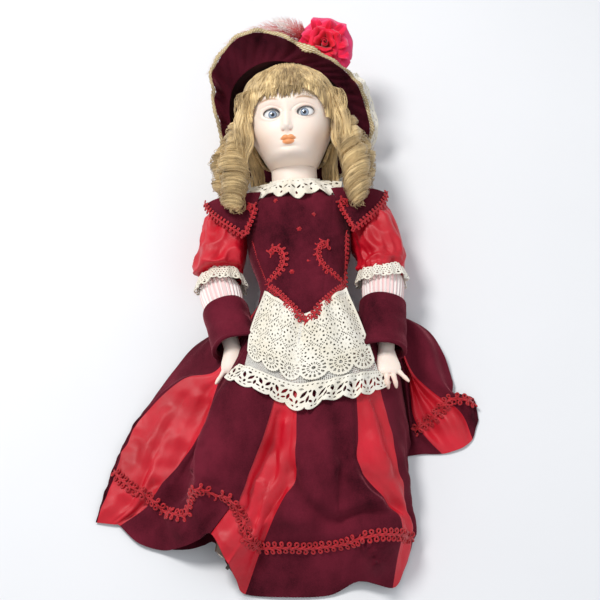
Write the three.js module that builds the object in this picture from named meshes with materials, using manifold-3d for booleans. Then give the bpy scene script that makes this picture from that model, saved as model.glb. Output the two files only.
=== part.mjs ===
// A porcelain doll of about 55 cm lying on its back, dressed in a velvet and satin gown and a bonnet.
// Millimetres. +Z is up from the surface it lies on, +Y points to the crown, +X is the doll's left.
import * as THREE from 'three';
import { mergeVertices } from 'three/addons/utils/BufferGeometryUtils.js';
import Module from 'manifold-3d';

const wasm = await Module();
wasm.setup();

// ---- driving dimensions ----
const MIDLINE_X = 25; // the body's midline, beside the middle of the spread skirt
const MIDLENGTH_Y = -2.5; // from the waist to the middle between hem and rose
const GAP = 0.4; // clearance between neighbouring pieces
const SOCKET_GAP = 0.7; // clearance of a ball in its socket
const NECK = new THREE.Vector3(0, 124, 54);
const HEAD_TILT = THREE.MathUtils.degToRad(15);
const FACE_TURN = THREE.MathUtils.degToRad(-5);
const NECK_RADIUS = 23.5;
const EYE = { x: 18.7, y: 82, z: 34, radius: 11, halfWidth: 9, halfHeight: 5.8 };
const SHELL_WALL = 4;
const CROWN_CUT_Y = 126;
const SHOULDER = { x: 66, y: 104, z: 46, ball: 13 };
const HIP = { x: 28, y: -47, z: 44, ball: 19.5 };
const KNEE_BALL = 14;
const ELBOW_BALL = 9.5;
const BODICE_THICKNESS = 3;
const CLOTH = 1.4;
const FLOOR_CLOTH = 1.6;

// ---- colours ----
const finish = (color, roughness, metalness = 0) => ({ color, roughness, metalness });
const BISQUE = finish(0xf3e3dc, 0.45);
const GLASS = finish(0x7f95b4, 0.08);
const CORK = finish(0xb98a5a, 0.9);
const MOHAIR = finish(0xc8a860, 0.65);
const VELVET = finish(0x541828, 0.95);
const SATIN = finish(0xd8202e, 0.35);
const STRAW = finish(0xd9c08c, 0.8);
const LACE = finish(0xf2ecd8, 0.85);
const SILK = finish(0xe0103c, 0.6);
const PLUME = finish(0xc0182c, 0.9);
const WOOD = finish(0xc9a878, 0.7);
const STEEL = finish(0x9a9a9a, 0.35, 1);
const COMPOSITION = finish(0xe8c4a8, 0.5);
const ELASTIC = finish(0xe8e4d8, 0.9);
const LEATHER = finish(0x5a4638, 0.5);
const SOLE = finish(0x3a2a20, 0.7);
const STRIPED_COTTON = finish(0xecd0cc, 0.9);
const BRAID = finish(0xc01822, 0.6);

const doll = new THREE.Group();
doll.position.set(MIDLINE_X, MIDLENGTH_Y, 0);
const head = new THREE.Group();
head.position.copy(NECK);
head.rotation.x = HEAD_TILT;
doll.add(head);
const face = new THREE.Group();
face.rotation.y = FACE_TURN;
head.add(face);

function add(group, name, geometry, look) {
  const material = new THREE.MeshStandardMaterial(look);
  const mesh = new THREE.Mesh(geometry, material);
  mesh.name = name;
  group.add(mesh);
}

// ---- solid helpers ----
const vec = (x, y, z) => new THREE.Vector3(x, y, z);

function signedVolume(positions, index) {
  let total = 0;
  const a = vec(0, 0, 0);
  const b = vec(0, 0, 0);
  const c = vec(0, 0, 0);
  for (let i = 0; i < index.length; i += 3) {
    a.fromArray(positions, index[i] * 3);
    b.fromArray(positions, index[i + 1] * 3);
    c.fromArray(positions, index[i + 2] * 3);
    total += a.dot(b.cross(c));
  }
  return total;
}

// A geometry from points and triangles, turned so that its faces point out.
function closedGeometry(points, index) {
  const positions = points.flatMap((p) => [p.x, p.y, p.z]);
  if (signedVolume(positions, index) < 0) {
    index.reverse();
  }
  const geometry = new THREE.BufferGeometry();
  geometry.setAttribute('position', new THREE.Float32BufferAttribute(positions, 3));
  geometry.setIndex(index);
  return geometry;
}

// Joins rings of equal point counts. The two ends close on their middles, or on each other when wrapped.
function skin(rings, wrap = false) {
  const count = rings[0].length;
  const points = rings.flat();
  const index = [];
  const bands = wrap ? rings.length : rings.length - 1;
  for (let band = 0; band < bands; band += 1) {
    const low = band * count;
    const high = ((band + 1) % rings.length) * count;
    for (let i = 0; i < count; i += 1) {
      const j = (i + 1) % count;
      index.push(low + i, low + j, high + j, low + i, high + j, high + i);
    }
  }
  if (!wrap) {
    const ends = [[0, rings[0], 1], [(rings.length - 1) * count, rings.at(-1), -1]];
    for (const [start, ring, side] of ends) {
      const middle = ring.reduce((sum, p) => sum.add(p), vec(0, 0, 0)).divideScalar(count);
      const pole = points.push(middle) - 1;
      for (let i = 0; i < count; i += 1) {
        const j = (i + 1) % count;
        index.push(pole, start + (side > 0 ? j : i), start + (side > 0 ? i : j));
      }
    }
  }
  return closedGeometry(points, index);
}

// A sheet of even thickness below a grid of points.
function slab(grid, thickness) {
  const rows = grid.length;
  const columns = grid[0].length;
  const top = grid.flat();
  const under = top.map((p) => vec(p.x, p.y, p.z - thickness));
  const at = (row, column) => row * columns + column;
  const index = [];
  for (let row = 0; row < rows - 1; row += 1) {
    for (let column = 0; column < columns - 1; column += 1) {
      const corners = [at(row, column), at(row, column + 1), at(row + 1, column + 1), at(row + 1, column)];
      const [a, b, c, d] = corners;
      index.push(a, b, c, a, c, d);
      const [e, f, g, h] = corners.map((corner) => corner + top.length);
      index.push(e, g, f, e, h, g);
    }
  }
  const border = [];
  for (let column = 0; column < columns; column += 1) border.push(at(0, column));
  for (let row = 1; row < rows; row += 1) border.push(at(row, columns - 1));
  for (let column = columns - 2; column >= 0; column -= 1) border.push(at(rows - 1, column));
  for (let row = rows - 2; row > 0; row -= 1) border.push(at(row, 0));
  border.forEach((a, i) => {
    const b = border[(i + 1) % border.length];
    index.push(b, a, a + top.length, b, a + top.length, b + top.length);
  });
  return closedGeometry([...top, ...under], index);
}

function merged(geometry) {
  const bare = geometry.clone();
  bare.deleteAttribute('normal');
  bare.deleteAttribute('uv');
  return mergeVertices(bare, 1e-4);
}

function toSolid(geometry) {
  const bare = merged(geometry);
  return new wasm.Manifold(new wasm.Mesh({
    numProp: 3,
    vertProperties: new Float32Array(bare.getAttribute('position').array),
    triVerts: new Uint32Array(bare.getIndex().array),
  }));
}

function fromSolid(solid) {
  const mesh = solid.getMesh();
  const geometry = new THREE.BufferGeometry();
  geometry.setAttribute('position', new THREE.BufferAttribute(new Float32Array(mesh.vertProperties), 3));
  geometry.setIndex([...mesh.triVerts]);
  return geometry;
}

// A cord of round section along a smooth curve through the points.
function cord(points, radius, steps, sides = 6, closed = false) {
  const section = new THREE.Shape();
  for (let i = 0; i < sides; i += 1) {
    const angle = (i / sides) * Math.PI * 2;
    const corner = [radius * Math.cos(angle), radius * Math.sin(angle)];
    if (i === 0) section.moveTo(...corner);
    else section.lineTo(...corner);
  }
  section.closePath();
  const extrudePath = new THREE.CatmullRomCurve3(points, closed);
  return merged(new THREE.ExtrudeGeometry(section, { extrudePath, steps, bevelEnabled: false }));
}

function ball(centre, radius, across = 12, down = 8) {
  return merged(new THREE.SphereGeometry(radius, across, down).translate(centre.x, centre.y, centre.z));
}

function ellipsoid(centre, radii, across = 14, down = 8) {
  const unit = new THREE.SphereGeometry(1, across, down).scale(radii.x, radii.y, radii.z);
  return merged(unit.translate(centre.x, centre.y, centre.z));
}

function block(low, high) {
  const size = vec(high[0] - low[0], high[1] - low[1], high[2] - low[2]);
  const box = new THREE.BoxGeometry(size.x, size.y, size.z);
  return merged(box.translate(low[0] + size.x / 2, low[1] + size.y / 2, low[2] + size.z / 2));
}

// A cylinder standing along Y from the low to the high height.
function post(radius, lowY, highY, centre, sides = 12) {
  const shaft = new THREE.CylinderGeometry(radius, radius, highY - lowY, sides);
  return merged(shaft.translate(centre.x, (lowY + highY) / 2, centre.z));
}

// Values of a table read smoothly between its rows; the first value of each row is the place.
function readTable(table, place) {
  let row = 0;
  while (row < table.length - 2 && (place - table[row + 1][0]) * Math.sign(table[1][0] - table[0][0]) > 0) {
    row += 1;
  }
  const before = table[Math.max(row - 1, 0)];
  const from = table[row];
  const to = table[row + 1];
  const after = table[Math.min(row + 2, table.length - 1)];
  const t = THREE.MathUtils.clamp((place - from[0]) / (to[0] - from[0]), 0, 1);
  return from.map((value, i) => {
    const out = (to[i] - before[i]) / 2;
    const into = (after[i] - from[i]) / 2;
    return ((2 * t - 3) * t * t + 1) * value + ((t - 2) * t + 1) * t * out
      + (3 - 2 * t) * t * t * to[i] + (t - 1) * t * t * into;
  });
}

// Rings square to a limb's centre line. Each station is x, y, z, half width, half depth.
function limbRings(stations, steps, sides, grow = 0) {
  const keyed = stations.map((station, i) => [i, ...station]);
  const read = (t) => readTable(keyed, t).slice(1);
  const last = stations.length - 1;
  const rings = [];
  for (let step = 0; step <= steps; step += 1) {
    const t = (step / steps) * last;
    const [x, y, z, halfWidth, halfDepth] = read(t);
    const ahead = read(Math.min(t + 0.05, last));
    const behind = read(Math.max(t - 0.05, 0));
    const along = vec(ahead[0] - behind[0], ahead[1] - behind[1], ahead[2] - behind[2]).normalize();
    const across = vec(0, 0, 1).cross(along).normalize();
    const up = along.clone().cross(across);
    const ring = [];
    for (let i = 0; i < sides; i += 1) {
      const angle = (i / sides) * Math.PI * 2;
      ring.push(vec(x, y, z)
        .addScaledVector(across, (halfWidth + grow) * Math.cos(angle))
        .addScaledVector(up, (halfDepth + grow) * Math.sin(angle)));
    }
    rings.push(ring);
  }
  return rings;
}

const limb = (stations, steps, sides, grow = 0) => skin(limbRings(stations, steps, sides, grow));

function sleeve(stations, steps, sides, wall) {
  const outer = limbRings(stations, steps, sides);
  const inner = limbRings(stations, steps, sides, -wall).reverse();
  return skin([...outer, ...inner], true);
}

const mirrored = (stations, side) => stations.map(([x, ...rest]) => [x * side, ...rest]);

// ---- head, in its own frame: origin at the neck's pivot, +Y to the crown, +Z out of the face ----
// height, half width, reach to the front, reach to the back
const HEAD_PROFILE = [
  [8, 23.5, 22, 22], [18, 23.2, 21.5, 21.5], [26, 24.5, 23, 23], [30, 30, 34, 27], [34, 35, 41, 33],
  [40, 38.5, 44.5, 40], [52, 42.5, 46.5, 47], [64, 45, 47.5, 50], [76, 46.5, 48, 52], [88, 47, 49, 52],
  [100, 46.5, 49.5, 51.5], [112, 43.5, 47, 49], [124, 37, 40, 43], [134, 26, 28, 33], [140, 15, 16, 20],
];
const CROWN_Y = 143;
const HEAD_SIDES = 20;
const HEAD_LOW_Y = 8;
const HEAD_TOP_Y = 141.5;
const HEAD_STEPS = 15;
const headHeight = (step) => HEAD_LOW_Y + ((HEAD_TOP_Y - HEAD_LOW_Y) * step) / HEAD_STEPS;

function headRing(height, grow) {
  const [, halfWidth, front, back] = readTable(HEAD_PROFILE, height);
  const ring = [];
  for (let i = 0; i < HEAD_SIDES; i += 1) {
    const angle = (i / HEAD_SIDES) * Math.PI * 2;
    const across = Math.cos(angle);
    const ahead = Math.sin(angle);
    const squareness = ahead > 0 && height > 30 ? 2.5 : 2.1;
    const reach = (Math.abs(across) ** squareness + Math.abs(ahead) ** squareness) ** (-1 / squareness);
    const depth = (ahead > 0 ? front : back) + grow;
    const nose = 9 * Math.exp(-(((height - 63) / 6.5) ** 2)) * Math.exp(-((across / 0.13) ** 2));
    const bump = ahead > 0 && grow >= 0 ? nose : 0;
    ring.push(vec((halfWidth + grow) * across * reach, height, depth * ahead * reach + bump));
  }
  return ring;
}

function headLoft(lowY, highY, steps, grow = 0) {
  const rings = [];
  for (let step = 0; step <= steps; step += 1) {
    rings.push(headRing(lowY + ((highY - lowY) * step) / steps, grow));
  }
  return skin(rings);
}

function neckDome() {
  const rings = [];
  const steps = 4;
  for (let step = 1; step <= steps; step += 1) {
    const angle = ((step / steps) - 1) * (Math.PI / 2);
    const share = Math.cos(angle);
    const height = NECK_RADIUS * Math.sin(angle);
    rings.push(headRing(HEAD_LOW_Y, 0).map((p) => vec(p.x * share, height, p.z * share)));
  }
  rings.push(headRing(HEAD_LOW_Y + 1, 0));
  return skin(rings);
}

function headShell() {
  const eyeCentres = [-1, 1].map((side) => vec(side * EYE.x, EYE.y, EYE.z));
  let shell = toSolid(headLoft(HEAD_LOW_Y, HEAD_TOP_Y, HEAD_STEPS)).add(toSolid(neckDome()));
  shell = shell.subtract(toSolid(headLoft(36, 138, 6, -SHELL_WALL)));
  shell = shell.subtract(toSolid(post(8, -40, 40, vec(0, 0, 0))));
  shell = shell.subtract(toSolid(post(15, 2, 40, vec(0, 0, 0))));
  shell = shell.subtract(toSolid(block([-60, CROWN_CUT_Y, -60], [60, 160, 60])));
  for (const centre of eyeCentres) {
    const socket = ball(centre, EYE.radius + SOCKET_GAP, 12, 8);
    const opening = new THREE.CylinderGeometry(1, 1, 40, 12).rotateX(Math.PI / 2);
    opening.scale(EYE.halfWidth, EYE.halfHeight, 1).translate(centre.x, centre.y, centre.z + 20);
    shell = shell.subtract(toSolid(socket)).subtract(toSolid(opening));
  }
  return fromSolid(shell);
}

// The wig stops at the hairline, an egg-shaped opening around the face that the bangs half fill.
const HAIRLINE = { centre: vec(0, 78, 62), radii: vec(43, 47, 58) };
const BANGS_LOW_Y = 98;
const WIG_LOW_Y = headHeight(4);

function faceEgg(grow) {
  const { centre, radii } = HAIRLINE;
  return toSolid(ellipsoid(centre, vec(radii.x + grow, radii.y + grow, radii.z + grow), 18, 10));
}

function wigCap() {
  const scalp = toSolid(headLoft(HEAD_LOW_Y, HEAD_TOP_Y, HEAD_STEPS, 0.5));
  const outside = toSolid(headLoft(WIG_LOW_Y, 145.5, 6, 5.5));
  return fromSolid(outside.subtract(scalp).subtract(faceEgg(0)));
}

function bangs() {
  const layer = toSolid(headLoft(BANGS_LOW_Y, 124, 4, 6))
    .subtract(toSolid(headLoft(HEAD_LOW_Y, HEAD_TOP_Y, HEAD_STEPS, 0.6)));
  const front = toSolid(block([-36, 90, 8], [36, 130, 80]));
  return fromSolid(layer.intersect(faceEgg(-GAP)).intersect(front));
}

add(face, 'head_shell', headShell(), BISQUE);
for (const [side, name] of [[-1, 'right'], [1, 'left']]) {
  add(face, `eye_${name}`, ball(vec(side * EYE.x, EYE.y, EYE.z), EYE.radius), GLASS);
}
add(face, 'head_pate', headLoft(CROWN_CUT_Y + GAP, 140.5, 3), CORK);
add(face, 'wig_cap', wigCap(), MOHAIR);
add(face, 'wig_bangs', bangs(), MOHAIR);

// Sausage ringlets hang beside the face and lie on the shoulders; stations in the body's frame.
const FRONT_RINGLET = [
  [60, 206, 92, 7, 7], [66, 188, 91, 10, 10], [69, 160, 91, 11.5, 11.5], [68, 128, 90, 11.5, 11],
  [64, 104, 89, 10, 10], [61, 94, 89, 4, 4],
];
const BACK_RINGLET = [
  [66, 204, 62, 6, 6], [77, 186, 62, 10, 10], [80, 162, 60, 11, 11], [79, 142, 60, 9, 9], [78, 134, 60, 3, 3],
];
for (const [side, name] of [[-1, 'right'], [1, 'left']]) {
  add(doll, `ringlet_front_${name}`, limb(mirrored(FRONT_RINGLET, side), 9, 8), MOHAIR);
  add(doll, `ringlet_back_${name}`, limb(mirrored(BACK_RINGLET, side), 7, 8), MOHAIR);
}

// ---- bonnet, in the head's frame without the face's turn ----
const BRIM_INNER = [
  [69, 76, -36], [67, 108, -14], [53, 130, 2], [28, 146, 13], [0, 155, 15], [-28, 156, 13], [-52, 148, -1],
  [-68, 132, -20], [-70, 98, -38], [-46, 58, -63], [0, 44, -67], [46, 52, -63],
].map((p) => vec(...p));
const BRIM_OUTER = [
  [90, 76, -38], [84, 110, -8], [71, 130, 12], [48, 146, 26], [10, 164, 33], [-26, 180, 30], [-60, 172, 18],
  [-90, 140, -8], [-86, 102, -36], [-66, 50, -62], [0, 22, -58], [66, 42, -60],
].map((p) => vec(...p));
const BRIM_STEPS = 36;
const BRIM_THICKNESS = 3;
const CROWN_POLE = vec(0, 104, -88);
const innerCurve = new THREE.CatmullRomCurve3(BRIM_INNER, true);
const outerCurve = new THREE.CatmullRomCurve3(BRIM_OUTER, true);

// The lowest place in the head's frame that stays above the surface the doll lies on.
function aboveSurface(point, clearance) {
  const height = NECK.z + point.y * Math.sin(HEAD_TILT) + point.z * Math.cos(HEAD_TILT);
  const lift = Math.max(0, clearance - height);
  return vec(point.x, point.y + lift * Math.sin(HEAD_TILT), point.z + lift * Math.cos(HEAD_TILT));
}

function brim() {
  const backward = vec(0, 0.3, -1).normalize();
  const rings = [];
  for (let step = 0; step < BRIM_STEPS; step += 1) {
    const t = step / BRIM_STEPS;
    const inside = innerCurve.getPoint(t);
    const outside = outerCurve.getPoint(t);
    const wave = 2.5 * Math.sin(t * Math.PI * 2 * 9);
    const middle = inside.clone().lerp(outside, 0.5).addScaledVector(backward, 4 + wave);
    const front = [inside, middle, outside].map((p) => aboveSurface(p, BRIM_THICKNESS + 0.4));
    const back = front.map((p) => aboveSurface(p.clone().addScaledVector(backward, BRIM_THICKNESS), 0.3));
    rings.push([...front, ...back.reverse()]);
  }
  return skin(rings, true);
}

function brimEdge(t, out, back) {
  const inside = innerCurve.getPoint(t);
  const outside = outerCurve.getPoint(t);
  const outward = outside.clone().sub(inside).setZ(0).normalize();
  return outside.addScaledVector(outward, out).add(vec(0, 0.3 * back, -back));
}

// A flat plaited strip that runs all round, just outside the velvet.
function strawEdge() {
  const rings = [];
  for (let step = 0; step < BRIM_STEPS; step += 1) {
    const t = step / BRIM_STEPS;
    const corners = [[0.6, 0.2], [5, 0.6], [5, 2.4], [0.6, 2.6]];
    rings.push(corners.map(([out, back]) => aboveSurface(brimEdge(t, out, back), 3 - back)));
  }
  return skin(rings, true);
}

function bonnetCrown() {
  const centre = BRIM_INNER.reduce((sum, p) => sum.add(p), vec(0, 0, 0)).divideScalar(BRIM_INNER.length);
  const steps = 5;
  const layers = [];
  for (const inset of [0, 2.2]) {
    const rings = [];
    for (let step = 0; step <= steps; step += 1) {
      const angle = (step / steps) * (Math.PI / 2) * 0.97;
      const ring = [];
      for (let i = 0; i < 20; i += 1) {
        const rim = innerCurve.getPoint(i / 20).sub(centre);
        const shrink = 1 - inset / rim.length();
        const depth = 1 - inset / 60;
        const point = centre.clone().addScaledVector(rim, Math.cos(angle) ** 0.55 * shrink)
          .addScaledVector(CROWN_POLE.clone().sub(centre), Math.sin(angle) * depth)
          .add(vec(0, 1.6, -4.6));
        ring.push(aboveSurface(point, inset));
      }
      rings.push(ring);
    }
    layers.push(rings);
  }
  return skin([...layers[0].reverse(), ...layers[1]]);
}

function rose() {
  const centre = vec(43, 170, -3);
  const rings = [];
  for (const [size, lift] of [[0.35, -13], [0.8, -9], [1, 0], [0.86, 7], [0.5, 4], [0.2, 8]]) {
    const ring = [];
    for (let i = 0; i < 20; i += 1) {
      const angle = (i / 20) * Math.PI * 2;
      const petal = 1 + 0.07 * Math.cos(angle * 5);
      const across = 33 * size * petal * Math.cos(angle);
      const up = 27 * size * petal * Math.sin(angle);
      ring.push(vec(centre.x + across * 0.86 + up * 0.5, centre.y - across * 0.5 + up * 0.86, centre.z + lift));
    }
    rings.push(ring);
  }
  return skin(rings);
}

function hangingLace() {
  const grid = [];
  for (let row = 0; row <= 8; row += 1) {
    const line = [];
    for (let column = 0; column <= 3; column += 1) {
      const point = brimEdge(0.985 + row * 0.0125, 6 + column * 4, 3 + column * 1.5);
      line.push(aboveSurface(point, 4));
    }
    grid.push(line);
  }
  return slab(grid, 1.2);
}

add(head, 'bonnet_crown', bonnetCrown(), VELVET);
add(head, 'bonnet_brim', brim(), VELVET);
add(head, 'bonnet_straw_edge', strawEdge(), STRAW);
add(head, 'bonnet_hanging_lace', hangingLace(), LACE);
add(head, 'bonnet_rose', rose(), SILK);
add(head, 'bonnet_plume', ellipsoid(vec(-14, 193, 6), vec(22, 9, 5)), PLUME);

// ---- neck hardware, in the head's frame ----
function neckHook() {
  const shank = [vec(0, 30, 0), vec(0, 10, 0), vec(0, -20, 0), vec(0, -30, 0)];
  const bend = [vec(2, -37, 0), vec(6, -37, 0), vec(7, -32, 0)];
  return cord([...shank, ...bend], 1.5, 16, 6);
}

function neckSpring() {
  const turns = 4;
  const points = [];
  for (let i = 0; i <= turns * 8; i += 1) {
    const angle = (i / 8) * Math.PI * 2;
    points.push(vec(5 * Math.cos(angle), 9.8 + i * 0.42, 5 * Math.sin(angle)));
  }
  return cord(points, 0.8, turns * 7, 4);
}

function neckButton() {
  const disc = toSolid(post(12, 3, 8, vec(0, 0, 0)));
  return fromSolid(disc.subtract(toSolid(post(1.5 + GAP, 0, 12, vec(0, 0, 0), 12))));
}

add(head, 'neck_hook', neckHook(), STEEL);
add(head, 'neck_spring', neckSpring(), STEEL);
add(head, 'neck_button', neckButton(), WOOD);

// ---- torso ----
// height, half width, half depth, height of the middle above the surface
const TORSO_PROFILE = [
  [122, 25, 22, 54], [114, 42, 30, 50], [104, 54, 35, 47], [85, 52, 39, 45], [55, 50, 39, 45],
  [20, 41, 35, 45], [-10, 43, 36, 45], [-30, 46, 36, 45], [-52, 47, 35, 44],
];
const TORSO_SIDES = 16;
const TORSO_TOP_Y = 122;
const TORSO_LOW_Y = -52;
const TORSO_STEPS = 12;
const TORSO_SQUARENESS = 2.2;

function torsoRing(height, grow) {
  const [, halfWidth, halfDepth, middle] = readTable(TORSO_PROFILE, height);
  const ring = [];
  for (let i = 0; i < TORSO_SIDES; i += 1) {
    const angle = (i / TORSO_SIDES) * Math.PI * 2;
    const across = Math.cos(angle);
    const up = Math.sin(angle);
    const power = TORSO_SQUARENESS;
    const reach = (Math.abs(across) ** power + Math.abs(up) ** power) ** (-1 / power);
    const z = middle + (halfDepth + grow) * up * reach;
    ring.push(vec((halfWidth + grow) * across * reach, height, z));
  }
  return ring;
}

function torsoLoft(grow, from = 0, to = TORSO_STEPS) {
  const rings = [];
  for (let step = from; step <= to; step += 1) {
    rings.push(torsoRing(TORSO_TOP_Y + ((TORSO_LOW_Y - TORSO_TOP_Y) * step) / TORSO_STEPS, grow));
  }
  return skin(rings);
}

// Height of the bodice's front at a place on the chest.
function chestFront(x, y) {
  const [, halfWidth, halfDepth, middle] = readTable(TORSO_PROFILE, y);
  const grow = GAP + BODICE_THICKNESS + (y < 10 ? SKIRT_ROOM : 0);
  const share = Math.min(Math.abs(x) / (halfWidth + grow), 0.98);
  return middle + (halfDepth + grow) * (1 - share ** TORSO_SQUARENESS) ** (1 / TORSO_SQUARENESS);
}

// Where each thigh's axis points when the hip is straight, half bent and fully bent.
const SEAT_CUTS = [[-90, 44], [-83, 72], [-62, 90]];

function torso() {
  const socketCentres = [-1, 1].map((side) => vec(side * HIP.x, HIP.y, HIP.z));
  let body = toSolid(torsoLoft(0));
  body = body.subtract(toSolid(torsoLoft(-SHELL_WALL, 2, 9)));
  body = body.subtract(toSolid(ball(NECK, NECK_RADIUS + SOCKET_GAP, 20, 12)));
  body = body.subtract(toSolid(post(11, 80, 110, vec(0, 0, 48))));
  for (const side of [-1, 1]) {
    const shoulder = vec(side * SHOULDER.x, SHOULDER.y, SHOULDER.z);
    body = body.subtract(toSolid(ball(shoulder, SHOULDER.ball + SOCKET_GAP, 12, 8)));
    const tunnel = new THREE.CylinderGeometry(5, 5, 30, 8).rotateZ(Math.PI / 2);
    body = body.subtract(toSolid(tunnel.translate(side * 44, 92, 46)));
  }
  for (const centre of socketCentres) {
    body = body.subtract(toSolid(ball(centre, HIP.ball + SOCKET_GAP, 14, 10)));
    body = body.subtract(toSolid(post(7, -40, 2, vec(centre.x, 0, HIP.z), 8)));
  }
  // Clear ways for the neck hook when the head nods and for the thighs when the doll sits.
  body = body.subtract(toSolid(block([-9, 83, 28], [11, 100, 48])));
  const seatFront = block([-70, -60, 53], [70, -27, 100]);
  body = body.subtract(toSolid(seatFront));
  for (const centre of socketCentres) {
    for (const [y, z] of SEAT_CUTS) {
      const way = [[centre.x, HIP.y, HIP.z, 21, 21], [centre.x * 1.3, y, z, 22, 22]];
      body = body.subtract(toSolid(limb(way, 1, 12)));
    }
  }
  return fromSolid(body);
}

add(doll, 'torso', torso(), COMPOSITION);
add(doll, 'arm_elastic', cord([vec(-42, 88, 40), vec(0, 78, 38), vec(42, 88, 40)], 2, 12, 6), ELASTIC);
add(doll, 'leg_elastic', cord([
  vec(-28, -18, 44), vec(-18, 30, 42), vec(0, 62, 42), vec(18, 30, 42), vec(28, -18, 44),
], 2, 16, 6), ELASTIC);

// ---- arms: shoulder, elbow and wrist of each side ----
const ARMS = {
  right: { side: -1, elbow: vec(-92, 17, 38), wrist: vec(-78, -58, 64), tipLift: 8 },
  left: { side: 1, elbow: vec(90, 13, 44), wrist: vec(81, -71, 60), tipLift: 8 },
};

// Stations between two points, each given as a distance from the first, a half width and a half depth.
function between(from, to, marks) {
  const along = to.clone().sub(from).normalize();
  return marks.map(([distance, halfWidth, halfDepth = halfWidth]) => {
    const p = from.clone().addScaledVector(along, distance);
    return [p.x, p.y, p.z, halfWidth, halfDepth];
  });
}

function upperArm(arm) {
  const shoulder = vec(arm.side * SHOULDER.x, SHOULDER.y, SHOULDER.z);
  const length = shoulder.distanceTo(arm.elbow);
  const marks = [[-11, 4], [6, 10.5], [20, 11], [40, 11.5], [60, 11], [length - 16, 9.5], [length - 7, 6.8]];
  const rod = toSolid(limb(between(shoulder, arm.elbow, marks), 7, 10));
  const top = toSolid(ball(shoulder, SHOULDER.ball));
  return fromSolid(rod.add(top).subtract(toSolid(ball(arm.elbow, ELBOW_BALL + SOCKET_GAP))));
}

// The hand reaches along the forearm: a flat palm, four fingers and a thumb on the inner side.
const PALM = [[0, 8.5, 7], [8, 9.5, 6], [16, 11.5, 5.5], [23, 11.8, 4.8], [26, 9, 3.6]];
const FINGERS = [
  { root: [-8.6, -22, -1], bend: [-13, -31, 1], tip: [-17.5, -38, 1], radius: 2.1 },
  { root: [-3.2, -24, 0], bend: [-4.5, -35, 0], tip: [-4.5, -42, -5], radius: 2.4 },
  { root: [2.4, -24, 0], bend: [2.6, -35, -1], tip: [2.6, -41, -8], radius: 2.5 },
  { root: [8, -22, -1], bend: [8.4, -31, -3], tip: [8.2, -36, -9], radius: 2.4 },
];
const THUMB = { root: [8, -9, -3], bend: [15.5, -16, -6], tip: [17, -25, -9], radius: 2.9 };

function forearm(arm) {
  const length = arm.elbow.distanceTo(arm.wrist);
  const marks = [[7, 6.8], [16, 10.5], [30, 11.5], [50, 10.5], [length - 8, 8.6, 7.6], [length, 8.5, 7]];
  let solid = toSolid(limb(between(arm.elbow, arm.wrist, marks), 7, 10));
  const reach = vec(0, -1, arm.tipLift / 40).normalize();
  const along = (distance) => arm.wrist.clone().addScaledVector(reach, distance);
  const palmStations = PALM.map(([distance, halfWidth, halfDepth]) => {
    const p = along(distance - 1);
    return [p.x, p.y, p.z, halfWidth, halfDepth];
  });
  solid = solid.add(toSolid(limb(palmStations, 3, 8)));
  for (const { root, bend, tip, radius } of [...FINGERS, THUMB]) {
    const stations = [root, bend, tip].map(([x, y, z], i) => {
      const p = along(-y);
      const size = radius * [1.1, 1, 0.75][i];
      return [p.x + -arm.side * x, p.y, p.z + z, size, size];
    });
    solid = solid.add(toSolid(limb(stations, 2, 5)));
  }
  return fromSolid(solid.subtract(toSolid(ball(arm.elbow, ELBOW_BALL + SOCKET_GAP))));
}

// Dress sleeves, as stations along the arm in the body's frame.
function puffSleeve({ elbow, side }) {
  const stations = [
    [side * 80, 116, 46, 9, 11], [side * 82, 108, 46, 15, 17], [side * 83, 88, 45, 21.5, 21.5],
    [side * 87, 62, 44, 25, 26], [side * 90, 42, 44, 24, 25], [elbow.x, elbow.y + 13, elbow.z + 2, 17.5, 17.5],
  ];
  const shoulder = vec(side * SHOULDER.x, SHOULDER.y, SHOULDER.z);
  const arm = between(shoulder, elbow, [[0, 12.5], [20, 12.5], [60, 12.5]]);
  const cloth = toSolid(sleeve(stations, 6, 12, CLOTH)).subtract(toSolid(ball(shoulder, SHOULDER.ball + 1)));
  return fromSolid(cloth.subtract(toSolid(limb(arm, 2, 8))));
}

function sleeveLace(arm) {
  const { elbow } = arm;
  const stations = [
    [elbow.x, elbow.y + 8, elbow.z + 1, 20.5, 20.5], [elbow.x, elbow.y + 2, elbow.z + 1, 24, 24],
    [elbow.x, elbow.y - 7, elbow.z + 2, 26.5, 26.5],
  ];
  return sleeve(stations, 2, 14, 1);
}

function undersleeve(arm) {
  const shoulder = vec(arm.side * SHOULDER.x, SHOULDER.y, SHOULDER.z);
  const above = between(arm.elbow, shoulder, [[7, 15.5]]);
  const below = between(arm.elbow, arm.wrist, [[0, 18], [12, 19.5], [24, 19]]);
  return sleeve([...above, ...below], 4, 12, CLOTH);
}

function cuff(arm) {
  const length = arm.elbow.distanceTo(arm.wrist);
  const marks = [[25.5, 21.5], [40, 22.5], [60, 23], [length - 3, 22.5]];
  return sleeve(between(arm.elbow, arm.wrist, marks), 3, 14, 1.8);
}

for (const [name, arm] of Object.entries(ARMS)) {
  add(doll, `upper_arm_${name}`, upperArm(arm), COMPOSITION);
  add(doll, `elbow_ball_${name}`, ball(arm.elbow, ELBOW_BALL), WOOD);
  add(doll, `forearm_hand_${name}`, forearm(arm), BISQUE);
  add(doll, `puff_sleeve_${name}`, puffSleeve(arm), SATIN);
  add(doll, `sleeve_lace_${name}`, sleeveLace(arm), LACE);
  add(doll, `undersleeve_${name}`, undersleeve(arm), STRIPED_COTTON);
  add(doll, `cuff_${name}`, cuff(arm), VELVET);
}

// ---- legs: knee, ankle and toe of each side ----
const LEGS = {
  right: { side: -1, knee: vec(-37, -160, 44), ankle: vec(-76, -238, 38), toe: vec(-103, -268, 36) },
  left: { side: 1, knee: vec(36, -160, 44), ankle: vec(42, -247, 42), toe: vec(60, -277, 38) },
};

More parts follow.
